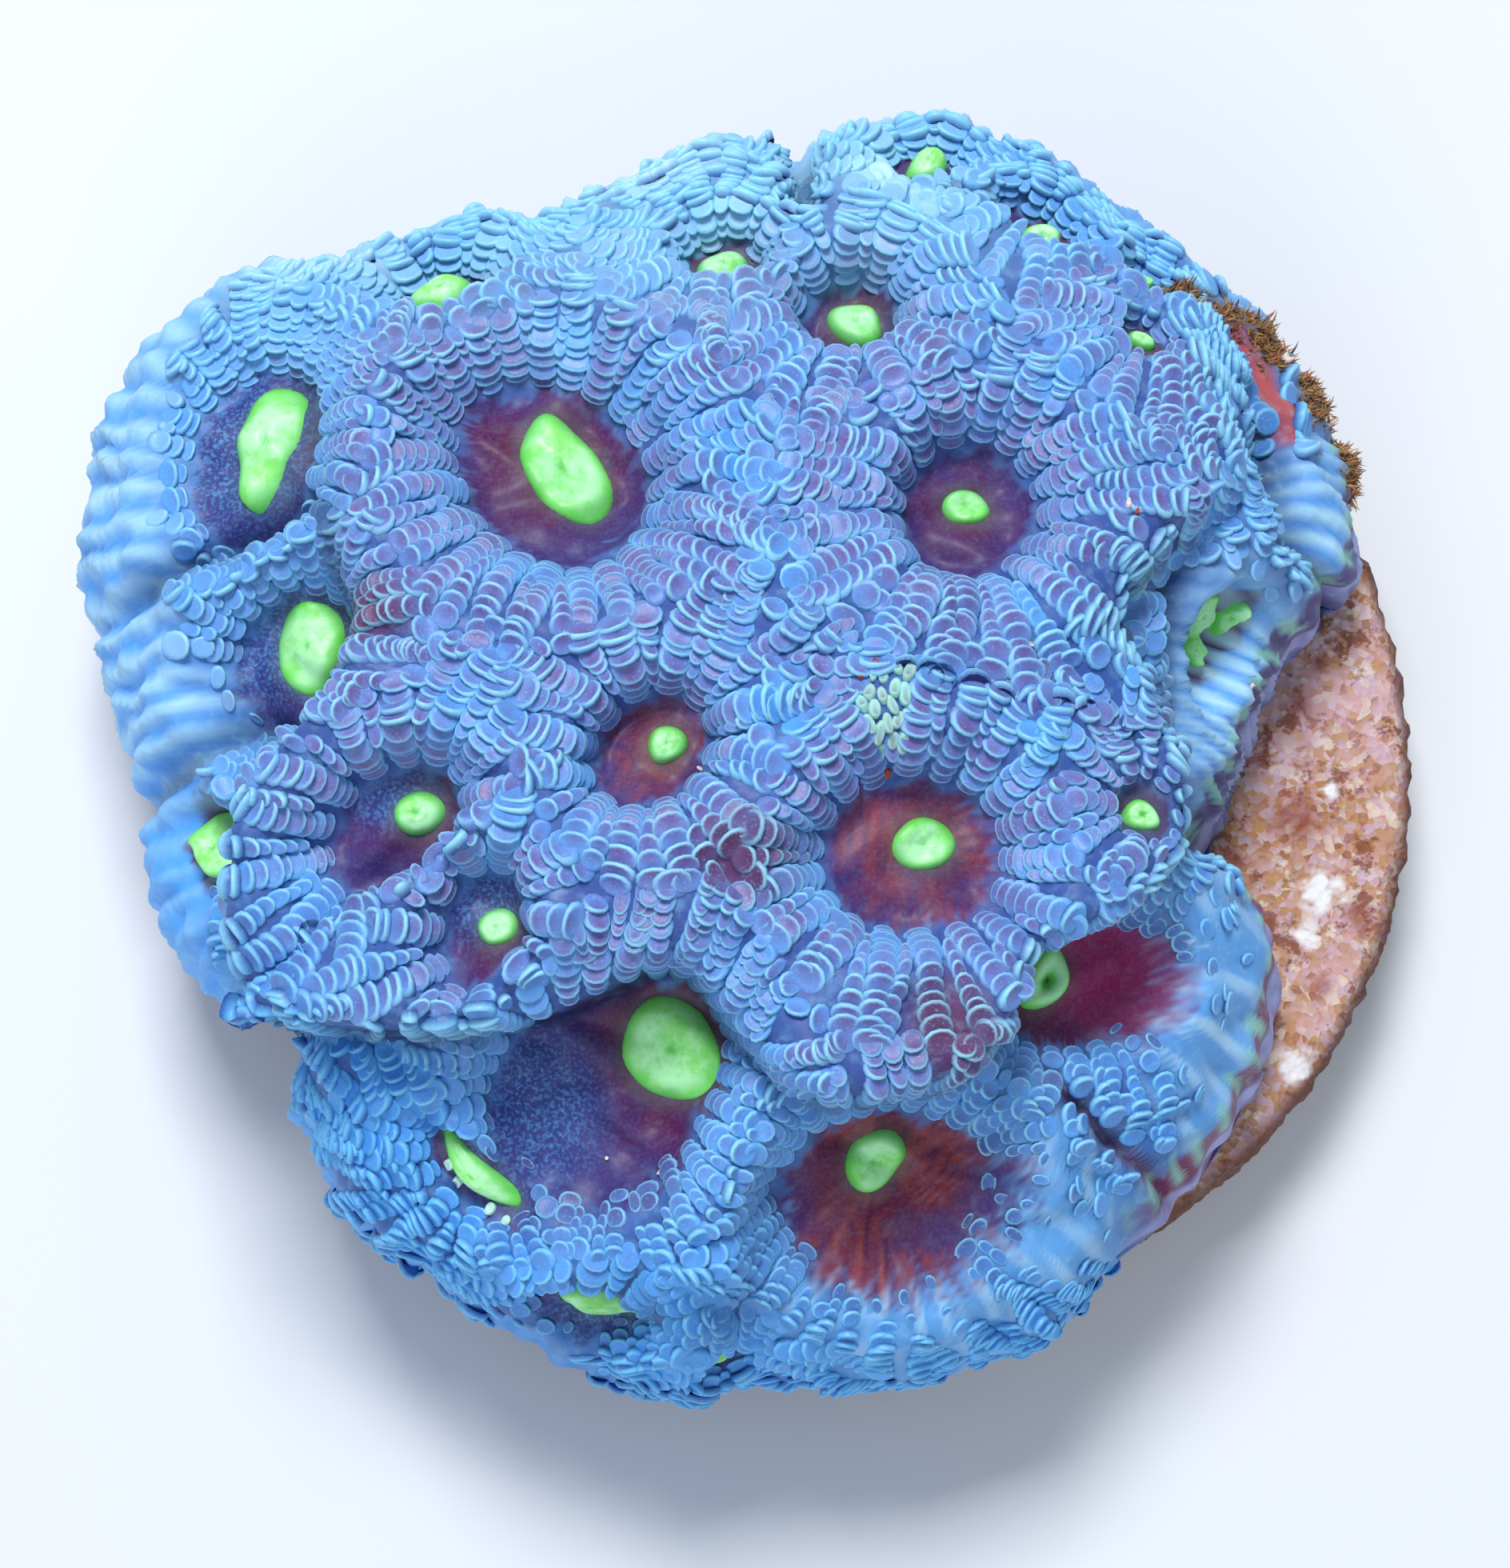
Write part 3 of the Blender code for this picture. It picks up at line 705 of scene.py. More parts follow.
# Near white, for painted glare and the pale rib crests.
PALE_GLARE_WHITE = shade(190, 236, 255)
MAROON = shade(96, 16, 62)
VALLEY_PURPLE = shade(66, 46, 116)
EMBER = shade(176, 76, 50)
CRIMSON = shade(150, 24, 92)
FAN_BLUE = shade(104, 178, 244)
STRIATION = shade(186, 226, 250)
# Dark navy of the painted shade in creases and under the plateau's edge.
PAINTED_SHADE_NAVY = shade(14, 24, 66)
VALLEY_INDIGO = shade(44, 66, 140)
CORE_PLUM = shade(106, 70, 130)
BAND_PURPLE = shade(78, 44, 112)
BAND_CRIMSON = shade(122, 28, 74)
TUCK_MAUVE = shade(98, 84, 150)
TOOTH_GREEN = shade(150, 214, 196)
LIP_LAVENDER = shade(176, 168, 222)
# Olive of the mouths' painted glow on the skin round them.
MOUTH_GLOW_OLIVE = shade(96, 130, 118)
TURF_BROWN = shade(112, 82, 52)
CORALLINE_RED = shade(190, 92, 90)
CORALLINE_PINK = shade(166, 80, 112)


def flesh_finish(name):
    finish = Finish(name, Subsurface_Weight=0.12, Subsurface_Scale=0.0004, Coat_Weight=0.12,
                    Coat_Roughness=0.3, Specular_IOR_Level=0.3)
    finish.shader.inputs["Subsurface Radius"].default_value = (0.5, 0.6, 1.0)
    return finish


def make_skin_finish():
    finish = flesh_finish("skin_flesh")
    grain = finish.noise(2600.0, 4.0)
    blotch = finish.noise(420.0, 3.0)
    cover, valley, streak, fan, indigo = (
        finish.attribute(key) for key in ("cover", "valley", "streak", "fan", "indigo"))
    # The second layer is painted shade: deeper blue on the front and lower sides.
    flesh = finish.tint(BODY_BLUE, ("purple", 0.7, HEART_PURPLE), ("clear", 0.8, SIDE_SHADE_BLUE))
    # Painted shade: skin outside the valleys, which shows only between the lobes, is darkened
    # violet.
    flesh = finish.mix(cover * (1.0 - finish.attribute("ribbed")) * 0.88, flesh, GAP_SHADE_VIOLET)
    # The first layer is a painted highlight, pale at the back.
    flesh = finish.tint(flesh, ("pale", 0.5, PALE_FLESH), ("fan", 0.8, FAN_BLUE))
    ray = streak.between(0.35, 0.9) * fan
    flesh = finish.mix(ray * (blotch.between(0.3, 0.7) * 0.35 + 0.3), flesh, STRIATION)
    flesh = finish.tint(flesh, ("patch", 0.8, MAROON))
    warm = finish.attribute("warm") + (blotch - 0.5) * 0.9
    floor = finish.mix(warm.between(0.15, 0.8), VALLEY_PURPLE, MAROON)
    floor = finish.tint(floor, ("indigo", 0.8, VALLEY_INDIGO), ("crimson", 0.9, CRIMSON))
    ember = streak * blotch.between(0.35, 0.6) * finish.attribute("ember")
    floor = finish.mix(ember, floor, EMBER)
    flesh = finish.mix(valley.between(0.1, 0.9), flesh, floor)
    dust = finish.noise(9500.0, 2.0).between(0.42, 0.72) * (indigo * 0.7 + 0.3) * valley
    flesh = finish.mix(dust * (indigo * 0.25 + 0.25), flesh, FAN_BLUE)
    # Painted glare: pale patches and rib crests go near white.
    flesh = finish.tint(flesh, ("frost", 0.9, PALE_GLARE_WHITE), ("tuck", 0.6, TUCK_MAUVE))
    band = finish.mix(finish.attribute("lower"), BAND_PURPLE, BAND_CRIMSON)
    red = finish.mix(blotch.between(0.4, 0.6), CORALLINE_RED, CORALLINE_PINK)
    # The last of these layers is painted shade in creases and under the plateau's edge.
    flesh = finish.tint(
        flesh, ("band", 0.9, band), ("teeth", 0.8, TOOTH_GREEN), ("lip", 0.85, LIP_LAVENDER),
        ("halo", 0.25, MOUTH_GLOW_OLIVE), ("turf", 0.85, TURF_BROWN), ("coralline", 1.0, red),
        ("deep", 0.85, PAINTED_SHADE_NAVY))
    flesh = finish.mix(grain.between(0.45, 0.8) * (cover * 0.2 + 0.05), flesh, PALE_FLESH)
    return finish.wear(flesh, 0.48 + grain * 0.25, finish.bump(grain, 0.5, 0.00006))


def make_lobe_finish():
    finish = flesh_finish("lobe_flesh")
    grain = finish.noise(5200.0, 3.0)
    tone = finish.attribute("tone")
    purple = finish.attribute("purple") * (tone * 0.4 + 0.6)
    heart = finish.mix(purple * 0.75, BODY_BLUE, HEART_PURPLE)
    heart = finish.mix(finish.attribute("core") * (purple * 0.85 + 0.25), heart, CORE_PLUM)
    # Painted light on the lobes: the second layer is a deeper blue painted shade on the front and
    # lower sides, the third a pale painted highlight at the back.
    heart = finish.tint(heart, ("patch", 0.8, MAROON), ("clear", 0.75, SIDE_SHADE_BLUE),
                        ("pale", 0.8, PALE_FLESH), ("valley", 0.8, VALLEY_PURPLE))
    # The rims take the painted side shade too.
    edge_blue = finish.tint(RIM_BLUE, ("clear", 0.85, SIDE_SHADE_RIM))
    rim = finish.attribute("rim").between(0.2, 1.0) * (0.6 + tone * 0.35)
    # Over the lobes go painted glare near white, then painted shade: violet at each base, navy in
    # creases and under the plateau's edge.
    flesh = finish.tint(finish.mix(rim, heart, edge_blue), ("frost", 0.7, PALE_GLARE_WHITE),
                        ("root", 0.9, GAP_SHADE_VIOLET), ("deep", 0.6, PAINTED_SHADE_NAVY))
    speck = finish.noise(13000.0, 2.0)
    flesh = finish.mix(speck.between(0.55, 0.8) * 0.35, flesh, PALE_FLESH)
    return finish.wear(flesh, 0.34 + grain * 0.2, finish.bump(grain, 0.35, 0.00003))


skin_finish = make_skin_finish()
lobe_finish = make_lobe_finish()

# %% [markdown]
# ## The skin
# The skin is the flesh between and under the lobes, and all of it in the valleys. A square grid is
# wrapped over the whole colony, so there is no pole where faces crowd together. Its outer edge
# runs under the overhang to the axis, and steps over the disc.

# %% Skin
SKIN_CELLS = 306
FAN_RELIEF = 0.05
UNDERSIDE_FROM = 0.9
UNDERSIDE_HOLE = 0.12
DISC_CLEARANCE = 0.08
# How strongly ember streaks show in a cup, and how warm the floors are.
EMBER_CUPS = {"south_east": 0.45, "centre": 0.45, "front_right": 0.65}
HOT_CUPS = ("front_right", "right_low")
WARMTH, HOT_WARMTH = 0.86, 1.15


def square_to_disc(x, y):
    """Concentric map of a square of side 2 onto the unit disc: angle and radius."""
    flat = np.abs(x) > np.abs(y)
    radius = np.maximum(np.abs(x), np.abs(y))
    safe = np.where(radius > 1e-9, radius, 1)
    turn = np.where(flat, y / safe, x / safe) * np.pi / 4
    angle = np.where(flat, np.where(x > 0, turn, np.pi - turn),
                     np.where(y > 0, np.pi / 2 - turn, -np.pi / 2 + turn))
    return angle, radius


def valley_streaks(points):
    """Fine rays about the nearest mouth: a sine of the bearing, with more rays in big cups."""
    offset = points[:, None, :] - CALYX_POINT
    near = np.argmin(np.linalg.norm(offset, axis=-1), -1)
    own = offset[np.arange(len(points)), near]
    bearing = np.arctan2(own[:, 1], own[:, 0])
    count = np.round(10 + 5 * VALLEY_LONG[near])
    reach = np.linalg.norm(own, axis=-1)
    ray = np.sin(count * bearing + 0.8 * np.sin(3 * bearing + reach))
    finer = np.sin(np.round(1.7 * count) * bearing + 1.7 * reach)
    return np.clip(0.5 + 0.28 * ray + 0.30 * finer, 0, 1), ray, near, reach


def make_skin():
    """Skin: flesh points on a wrapped square grid, closed underneath."""
    ticks = np.linspace(-1, 1, SKIN_CELLS + 1)
    x, y = np.meshgrid(ticks, ticks, indexing="ij")
    angle, radius = square_to_disc(x.ravel(), y.ravel())
    share = np.minimum(radius / UNDERSIDE_FROM, 1) * SHARE_LIP
    points = raise_flesh(angle, share)
    base = dome(angle, share)
    under = np.clip((radius - UNDERSIDE_FROM) / (1 - UNDERSIDE_FROM), 0, 1)
    shrink = 1 - (1 - UNDERSIDE_HOLE) * under
    axis = np.array([AXIS_X, AXIS_Y])
    points[:, :2] = axis + (points[:, :2] - axis) * shrink[:, None]
    over_disc = np.hypot(points[:, 0], points[:, 1]) < DISC_RADIUS + 0.2
    above_disc = np.maximum(points[:, 2], DISC_TOP + DISC_CLEARANCE)
    points[:, 2] = np.where(over_disc, above_disc, points[:, 2])
    count = SKIN_CELLS + 1
    edge = np.concatenate([np.arange(count), np.arange(1, count) * count + count - 1,
                           (count - 1) * count + np.arange(count - 2, -1, -1),
                           np.arange(count - 2, 0, -1) * count])
    points = np.vstack([points, points[edge].mean(0)])
    faces = grid_faces(count, count)
    hub = count * count
    faces += np.stack([edge, np.full(len(edge), hub), np.roll(edge, -1)], -1).tolist()
    base = np.vstack([base, base[-1]])
    angle, share = np.append(angle, 0.0), np.append(share, SHARE_LIP)
    number = fields(base, angle, share)
    number["streak"], ray, near, reach = valley_streaks(base)
    points = points + dome_normal(angle, share) * (FAN_RELIEF * number["fan"] * ray)[:, None]
    number["ember"] = np.array([EMBER_CUPS.get(name, 0) for name in CALYCES])[near]
    warmth = np.array([HOT_WARMTH if name in HOT_CUPS else WARMTH for name in CALYCES])[near]
    number["warm"] = np.clip(warmth - reach / (1.3 * VALLEY_LONG[near]) * 0.8, 0, 1)
    number["cover"] = 1 - number["valley"]
    # Painted glow: the skin close round each mouth takes an olive light.
    number["halo"] = 1 - ease(np.min(mouth_gap_of(base), -1) / 0.45)
    add_piece("coral_skin", points, faces, skin_finish, number, "coral")


make_skin()

# %% [markdown]
# ## Rows of lobes
# On the walls the flesh is packed into rows of small overlapping lobes. The rows start at right
# angles to a valley's edge and climb away from it, and new rows slip in where the old ones have
# drifted apart. So the rows are marched: all rows of a calyx step together over the dome, each
# keeping its heading, and every step leaves one lobe. A lobe is kept only where its own calyx is
# the nearest, so rows from two calyces meet along a crest. Single lobes then fill the bare spots
# that are left between rows, and lobes are thinned out where the flesh is smooth.

# %% March the rows
ROW_WIDTH = 0.74
SLOPE_ROW_WIDTH = 0.60
PLATEAU_CALYCES = ("great", "right_middle", "centre", "west", "south_west", "south_east", "top")
LOBE_PITCH = 0.33
MAX_STEPS = 60
HEADING_JITTER = 0.07
LOOK_AHEAD = 0.15
DOME_REACH = 17
SPLIT_WIDTH = 1.28
BARE_PATCH = ((-0.65, -1.6, 0.62, 1.15),)
SLOT_PATCH = ((8.2, 1.8, 1.3, 1.6),)
# Columns of a table of lobes: where its base is, its heading, and these.
BASE, HEADING = slice(0, 3), slice(3, 6)
WIDTH, PITCH, SHARE, CALYX = 6, 7, 8, 9
rng = np.random.default_rng(11)


def march(index):
    """One calyx's table of lobes. New rows start between the old ones as those spread."""
    long_way, wide_way = VALLEY_LONG[index], VALLEY_WIDE[index]
    perimeter = np.pi * (long_way + wide_way)
    row_width = ROW_WIDTH if list(CALYCES)[index] in PLATEAU_CALYCES else SLOPE_ROW_WIDTH
    first_rows = max(int(round(perimeter / row_width)), 6)
    fullest = SPLIT_WIDTH * row_width * first_rows * 2.0 ** (np.arange(4) - 1)
    starts = np.maximum((fullest - perimeter) / (2 * np.pi), 0.05)
    starts[0] = 0.05
    ticks = np.arange(8 * first_rows)
    level = np.where(ticks % 8 == 0, 0, np.where(ticks % 4 == 0, 1, np.where(ticks % 2 == 0, 2, 3)))
    bearing = (ticks + rng.uniform(-0.2, 0.2, len(ticks))) * 2 * np.pi / len(ticks)
    start = starts[level] * rng.uniform(0.9, 1.15, len(ticks))
    along, across = VALLEY_ALONG[index], VALLEY_ACROSS[index]
    cosine, sine = np.cos(bearing)[:, None], np.sin(bearing)[:, None]
    position = VALLEY_POINT[index] + long_way * cosine * along + wide_way * sine * across
    heading = unit(cosine / long_way * along + sine / wide_way * across)
    heading = unit(heading + unit(position - VALLEY_POINT[index]))
    travelled = rng.uniform(0, 0.5, len(ticks)) * LOBE_PITCH
    position = position + heading * travelled[:, None]
    found = []
    for _ in range(MAX_STEPS):
        angle, share = onto_dome(position)
        base = dome(angle, share)
        normal = dome_normal(angle, share)
        heading = unit(heading - normal * np.sum(heading * normal, -1, keepdims=True))
        here = raise_flesh(angle, share)
        ahead = flesh_at(base + heading * LOOK_AHEAD)
        stretch = np.clip(np.linalg.norm(ahead - here, axis=-1) / LOOK_AHEAD, 0.8, 3)
        round_reach = DOME_REACH * np.sin(np.minimum(travelled / DOME_REACH, 1.5))
        newest = np.sum(travelled[:, None] > starts[1:], -1)
        spacing = (perimeter + 2 * np.pi * round_reach) / (first_rows * 2.0 ** newest)
        fill = 0.5 * np.clip((travelled - starts[newest]) / 1.6, 0, 1)
        width = spacing * np.where(level < newest, 1.5 - fill, np.where(newest > 0, 0.5 + fill, 1))
        alive = (travelled >= start) & (share < 1.2)
        pitch = LOBE_PITCH * rng.uniform(0.88, 1.12, len(ticks))
        found.append(np.column_stack([base, heading, width, pitch, share,
                                      np.full(len(ticks), index)])[alive])
        position = base + heading * (pitch / stretch)[:, None]
        sideways = np.cross(normal, heading)
        heading = heading + sideways * rng.normal(0, HEADING_JITTER, (len(ticks), 1))
        travelled = travelled + pitch / stretch
    return np.vstack(found)


def nearest_calyx(points):
    """How far away the nearest valley edge is, and how far each calyx's is."""
    _, gap = cup_measure(points)
    return np.min(gap, -1), gap


FILL_POINTS = 4200
FILL_CLEARANCE = 0.40
FILL_WIDTH = 0.66


def fill_gaps(rows):
    """Lobes for the bare spots between rows: a spiral of evenly spread points, at the golden
    angle, of which those stay that are far from every row's lobe. Each takes after the nearest."""
    turn = np.arange(FILL_POINTS)
    angle = turn * np.pi * (3 - 5 ** 0.5)
    share = np.arcsin(0.9 * np.sqrt((turn + 0.5) / FILL_POINTS)) / (np.pi / 2)
    base = dome(angle, share)
    placed = rows[:, BASE]
    squared = np.sum(base ** 2, -1)[:, None] + np.sum(placed ** 2, -1) - 2 * base @ placed.T
    twin = np.argmin(squared, -1)
    bare_spot = np.min(squared, -1) > FILL_CLEARANCE ** 2
    filled = rows[twin[bare_spot]].copy()
    base, angle, share = base[bare_spot], angle[bare_spot], share[bare_spot]
    normal = dome_normal(angle, share)
    heading = filled[:, HEADING] + 0.25 * rng.normal(0, 1, (len(base), 3))
    filled[:, BASE] = base
    filled[:, HEADING] = unit(heading - normal * np.sum(heading * normal, -1, keepdims=True))
    filled[:, WIDTH] = FILL_WIDTH
    filled[:, SHARE] = share
    filled = filled[nearest_calyx(base)[0] > 0.25]
    print(f"{len(filled)} lobes fill the gaps between rows")
    return filled


marched = np.vstack([march(index) for index in range(len(CALYCES))])
edge_gap, all_gaps = nearest_calyx(marched[:, BASE])
own_gap = all_gaps[np.arange(len(marched)), marched[:, CALYX].astype(int)]
marched = marched[(own_gap < edge_gap + 0.12) & (edge_gap > -0.05)]
marched = np.vstack([marched, fill_gaps(marched)])
edge_gap, _ = nearest_calyx(marched[:, BASE])
marched_angle = np.arctan2(marched[:, 1] - AXIS_Y, marched[:, 0] - AXIS_X)
place = fields(marched[:, BASE], marched_angle, marched[:, SHARE])
bare = 1.25 * place["ribbed"] + 0.9 * place["calm"] + place["band"] + place["lip"]
bare = bare + place["turf"] + place["coralline"] + spots(marched[:, BASE], BARE_PATCH)
bare = bare + place["strip"] + 1.5 * place["groove"] + 1.4 * spots(marched[:, BASE], SLOT_PATCH)
kept = bare < rng.uniform(0.3, 1, len(marched))
marched, edge_gap = marched[kept], edge_gap[kept]
print(f"{len(marched)} lobes on the walls")

# %% [markdown]
# ## Lobes as one mesh
# A lobe is a small flattened cushion that leans out over the one below it. Its template has a
# middle point and four rings, 84 triangles in all. Every lobe is the template stretched along its
# own three axes, and all of them are computed at once by multiplying arrays.

# %% Build the lobes
LOBE_SIDES = 12
RING_REACH = np.array([0.60, 0.85, 1.0, 0.94])
RING_HEIGHT = np.array([0.82, 1.0, 0.55, -0.90])
RING_RIM = np.array([0.04, 0.80, 1.0, 0.50])
# Painted shade: the lowest ring, sunk into the skin, is marked for dark violet.
RING_ROOT_SHADE = np.array([0.0, 0.0, 0.10, 1.0])
MIDDLE_HEIGHT = 0.62
BOXINESS = 2.3
ROUNDNESS = 0.45


def lobe_template():
    """Rings about a middle point: outward and sideways shares, height, rim and root."""
    turn = np.arange(LOBE_SIDES) * 2 * np.pi / LOBE_SIDES
    cosine, sine = np.cos(turn), np.sin(turn)
    boxy = (np.abs(cosine) ** BOXINESS + np.abs(sine) ** BOXINESS) ** (-1 / BOXINESS)
    away = np.append(0, np.outer(RING_REACH, boxy * cosine))
    side = np.append(0, np.outer(RING_REACH, boxy * sine))
    height = np.append(MIDDLE_HEIGHT, np.repeat(RING_HEIGHT, LOBE_SIDES))
    height = height - ROUNDNESS * side ** 2
    core = np.exp(-((away + 0.35) / 0.38) ** 2 - (side / 0.45) ** 2)
    rim = np.append(0, np.repeat(RING_RIM, LOBE_SIDES))
    root = np.append(0, np.repeat(RING_ROOT_SHADE, LOBE_SIDES))
    faces = fan_faces(0, len(RING_REACH), LOBE_SIDES)
    return away, side, height, rim, root, core, faces


def frames_on_flesh(base, heading, step=0.12):
    """Point on the flesh with its away, across and up directions, from nearby flesh points."""
    angle, share = onto_dome(base)
    normal = dome_normal(angle, share)
    sideways = np.cross(normal, heading)
    here = raise_flesh(angle, share)
    away = flesh_at(base + heading * step) - here
    across = flesh_at(base + sideways * step) - here
    up = unit(np.cross(away, across))
    away = unit(away)
    return here, away, np.cross(up, away), up


def build_lobes(name, base, heading, length, width, height, lean, extra, finish=lobe_finish):
    """Joined lobes: middle + away*length*a + across*width*b + up*(height*h - lean*a)."""
    here, away, across, up = frames_on_flesh(base, heading)
    a, b, h, rim, root, core, faces = lobe_template()
    lift = height[:, None] * h - (lean * length)[:, None] * a
    points = (here[:, None, :] + away[:, None, :] * (length[:, None] * a)[..., None]
              + across[:, None, :] * (width[:, None] * b)[..., None]
              + up[:, None, :] * lift[..., None])
    many, size = len(base), len(a)
    listed = [row for face in faces
              for row in (np.array(face) + np.arange(many)[:, None] * size).tolist()]
    numbers = {key: np.repeat(values, size) for key, values in extra.items()}
    ringed = extra["ringed"][:, None]
    numbers["rim"] = rim * (ringed * 0.9 + (1 - ringed) * np.clip(0.65 - 0.5 * a, 0, 1))
    # The root number marks each lobe's base for painted shade.
    numbers["root"] = np.tile(root, many)
    numbers["core"] = np.tile(core, many)
    add_piece(name, points.reshape(-1, 3), listed, finish, numbers)


LOBE_HEIGHT = 0.16
LOBE_LEAN = 0.40
LOBE_TRIANGLES = LOBE_SIDES * (2 * len(RING_REACH) - 1)
PIECE_TRIANGLES = 190000
base, heading, share = marched[:, BASE], marched[:, HEADING], marched[:, SHARE]
many = len(base)
extra = {key: values[kept] for key, values in place.items()}
calm = extra["calm"]
near_edge = ease(edge_gap / 0.9 + 0.3)
size = (1 - 0.25 * calm) * rng.uniform(0.88, 1.12, many)
at_margin = ease((share - 0.86) / 0.12)
width = np.clip(marched[:, WIDTH], 0.35, 1.3) * 0.56 * (0.7 + 0.3 * near_edge) * size
length = marched[:, PITCH] * (0.2 + 0.8 * near_edge) * size
height = LOBE_HEIGHT * (0.45 + 0.55 * near_edge) * (1 - 0.7 * calm) * (1 - 0.45 * at_margin)
height = height * rng.uniform(0.8, 1.2, many)
lean = LOBE_LEAN * (1 - 0.6 * calm) * rng.uniform(0.7, 1.2, many)
extra["tone"] = rng.uniform(0, 1, many)
ringed = ease((edge_gap - 1.6) / 1.6) + calm + rng.normal(0, 0.2, many)
extra["ringed"] = np.clip(ringed, 0, 1)
by_calyx = np.argsort(marched[:, CALYX], kind="stable")
parts = np.array_split(by_calyx, 1 + many * LOBE_TRIANGLES // PIECE_TRIANGLES)
for number, part in enumerate(parts):
    build_lobes(f"wall_lobes_{number + 1}", base[part], heading[part], length[part], width[part],
                height[part], lean[part], {key: values[part] for key, values in extra.items()})

# %% [markdown]
# ## Mouths
# The mouths are the brightest things on the colony: smooth, slightly lumpy green cushions that
# glow under blue light. Each is a disc of rings with a wavy outline, a rounded edge and a small
# dimple. The glow is a weak emission of the same green.

# %% Mouth finish and cushions
GLOW_GREEN = shade(132, 228, 112)
PALE_GREEN = shade(178, 248, 184)
EDGE_GREEN = shade(92, 206, 70)
HOLLOW_GREEN = shade(58, 178, 44)
MOUTH_RINGS = 15
MOUTH_SIDES = 40
MOUTH_RISE = 0.26


def make_mouth_finish():
    finish = Finish("mouth_flesh", Subsurface_Weight=0.15, Subsurface_Scale=0.0004,
                    Coat_Weight=0.15, Coat_Roughness=0.3, Emission_Strength=0.07)
    mottle = finish.noise(1100.0, 5.0, 0.65)
    fine = finish.noise(4200.0, 3.0)
    green = finish.mix(mottle.between(0.36, 0.58), GLOW_GREEN, PALE_GREEN)
    green = finish.mix(finish.attribute("edge").between(0.55, 1.0) * 0.85, green, EDGE_GREEN)
    green = finish.mix(finish.attribute("dimple").between(0.1, 1.6), green, HOLLOW_GREEN)
    finish.feed(finish.shader.inputs["Emission Color"], green)
    return finish.wear(green, 0.35 + fine * 0.2, finish.bump(fine, 0.4, 0.00004))


mouth_finish = make_mouth_finish()


# How a mouth's outline or middle differs from a plain ellipse with a dimple.
SHAPES = {
    "upper_left": dict(flat=0.65, egg=0.12), "great": dict(egg=-0.24), "front": dict(egg=-0.10),
    "left": dict(egg=0.10, flat=0.75), "cliff": dict(tail=0.9), "centre": dict(egg=0.2),
    "front_left": dict(bend=-0.25, egg=-0.2), "right_low": dict(hollow=0.7, bend=0.35),
    "small_right": dict(hollow=0.4, egg=-0.3), "right": dict(egg=0.1),
}
MOUTH_TILT = 0.6
SKIRT_DEPTH = 0.35


def mouth_outline(index, name, ring, turn):
    """Plan of one cushion: a wavy ellipse, made egg-shaped, bent or tailed where it should be."""
    half_length, half_width = MOUTH_LONG[index], MOUTH_WIDE[index]
    shape = SHAPES.get(name, {})
    phase = rng.uniform(0, 2 * np.pi, 4)
    wave = 1 + sum(0.024 / (k + 0.5) * np.sin((k + 2) * turn + phase[k]) for k in range(4))
    from_tail = np.angle(np.exp(1j * (turn - np.pi)))
    wave = wave + shape.get("tail", 0) * np.exp(-(from_tail / 0.3) ** 2)
    along = ring * np.cos(turn) * wave
    across = ring * np.sin(turn) * wave * (1 + shape.get("egg", 0) * along)
    across = across + shape.get("bend", 0) * (along ** 2 - 0.3)
    across = np.where(across < 0, shape.get("flat", 1.0) * across, across)
    return along * half_length, across * half_width, phase[0]


def make_mouths():
    """Cushions: rings under a height (1 - r^6) with ripples and a dimple, and a buried skirt."""
    ring = np.append(np.linspace(0, 1, MOUTH_RINGS)[1:], 1.0)
    turn = np.arange(MOUTH_SIDES) * 2 * np.pi / MOUTH_SIDES
    radius = np.append(0, np.repeat(ring, MOUTH_SIDES))
    bearing = np.append(0, np.tile(turn, MOUTH_RINGS))
    skirt = np.arange(len(radius)) > len(radius) - 1 - MOUTH_SIDES
    points, edge, dimple, faces = [], [], [], []
    for index, name in enumerate(CALYCES):
        along, across, phase = mouth_outline(index, name, radius, bearing)
        base = CALYX_POINT[index] + along[:, None] * MOUTH_ALONG[index]
        base = base + across[:, None] * MOUTH_ACROSS[index]
        floor = flesh_at(base)
        hollow = SHAPES.get(name, {}).get("hollow", 0)
        spread = 0.13 + 0.32 * hollow
        pit = (0.08 + 0.25 * hollow) * np.exp(-(radius / spread) ** 2)
        pit = pit * min(1.0, MOUTH_WIDE[index] / 0.6) ** 2
        ring_ripple = 0.02 * np.exp(-((radius - 0.3) / 0.06) ** 2)
        ripple = 0.05 * np.sin(5 * bearing + 3 * radius + phase) * radius * (1 - radius)
        lift = MOUTH_RISE * (1 - radius ** 6) + ripple + ring_ripple - pit
        lift = lift * (0.45 + 0.55 * min(1.0, MOUTH_WIDE[index] / 0.6)) - 0.02
        downhill = unit(MOUTH_NORMAL[index, :2])
        beyond = (base[:, :2] - CALYX_POINT[index, :2]) @ downhill
        lift = lift + STEEP_MOUTH[index] * (MOUTH_TILT * beyond + 0.15)
        lift = np.where(skirt, -SKIRT_DEPTH, lift)
        faces += fan_faces(len(points) * len(radius), MOUTH_RINGS, MOUTH_SIDES)
        points.append(floor + MOUTH_NORMAL[index] * lift[:, None])
        edge.append(np.where(skirt, 1.3, radius))
        dimple.append(np.exp(-(radius / spread) ** 2) * (1 + hollow))
    numbers = {"edge": np.concatenate(edge), "dimple": np.concatenate(dimple)}
    add_piece("mouths", np.vstack(points), faces, mouth_finish, numbers)


make_mouths()

# %% [markdown]
# ## A bare patch, grains and turf
# In one place near the crown the flesh has gone, and a cluster of small pale ovals with dark
# middles shows. A few grains lie about, and pale beads sit under one mouth. They are all the
# lobe template again, shrunk. Brown turf algae have overgrown the far right rim. Each blade of
# it is a bent three-sided spike.

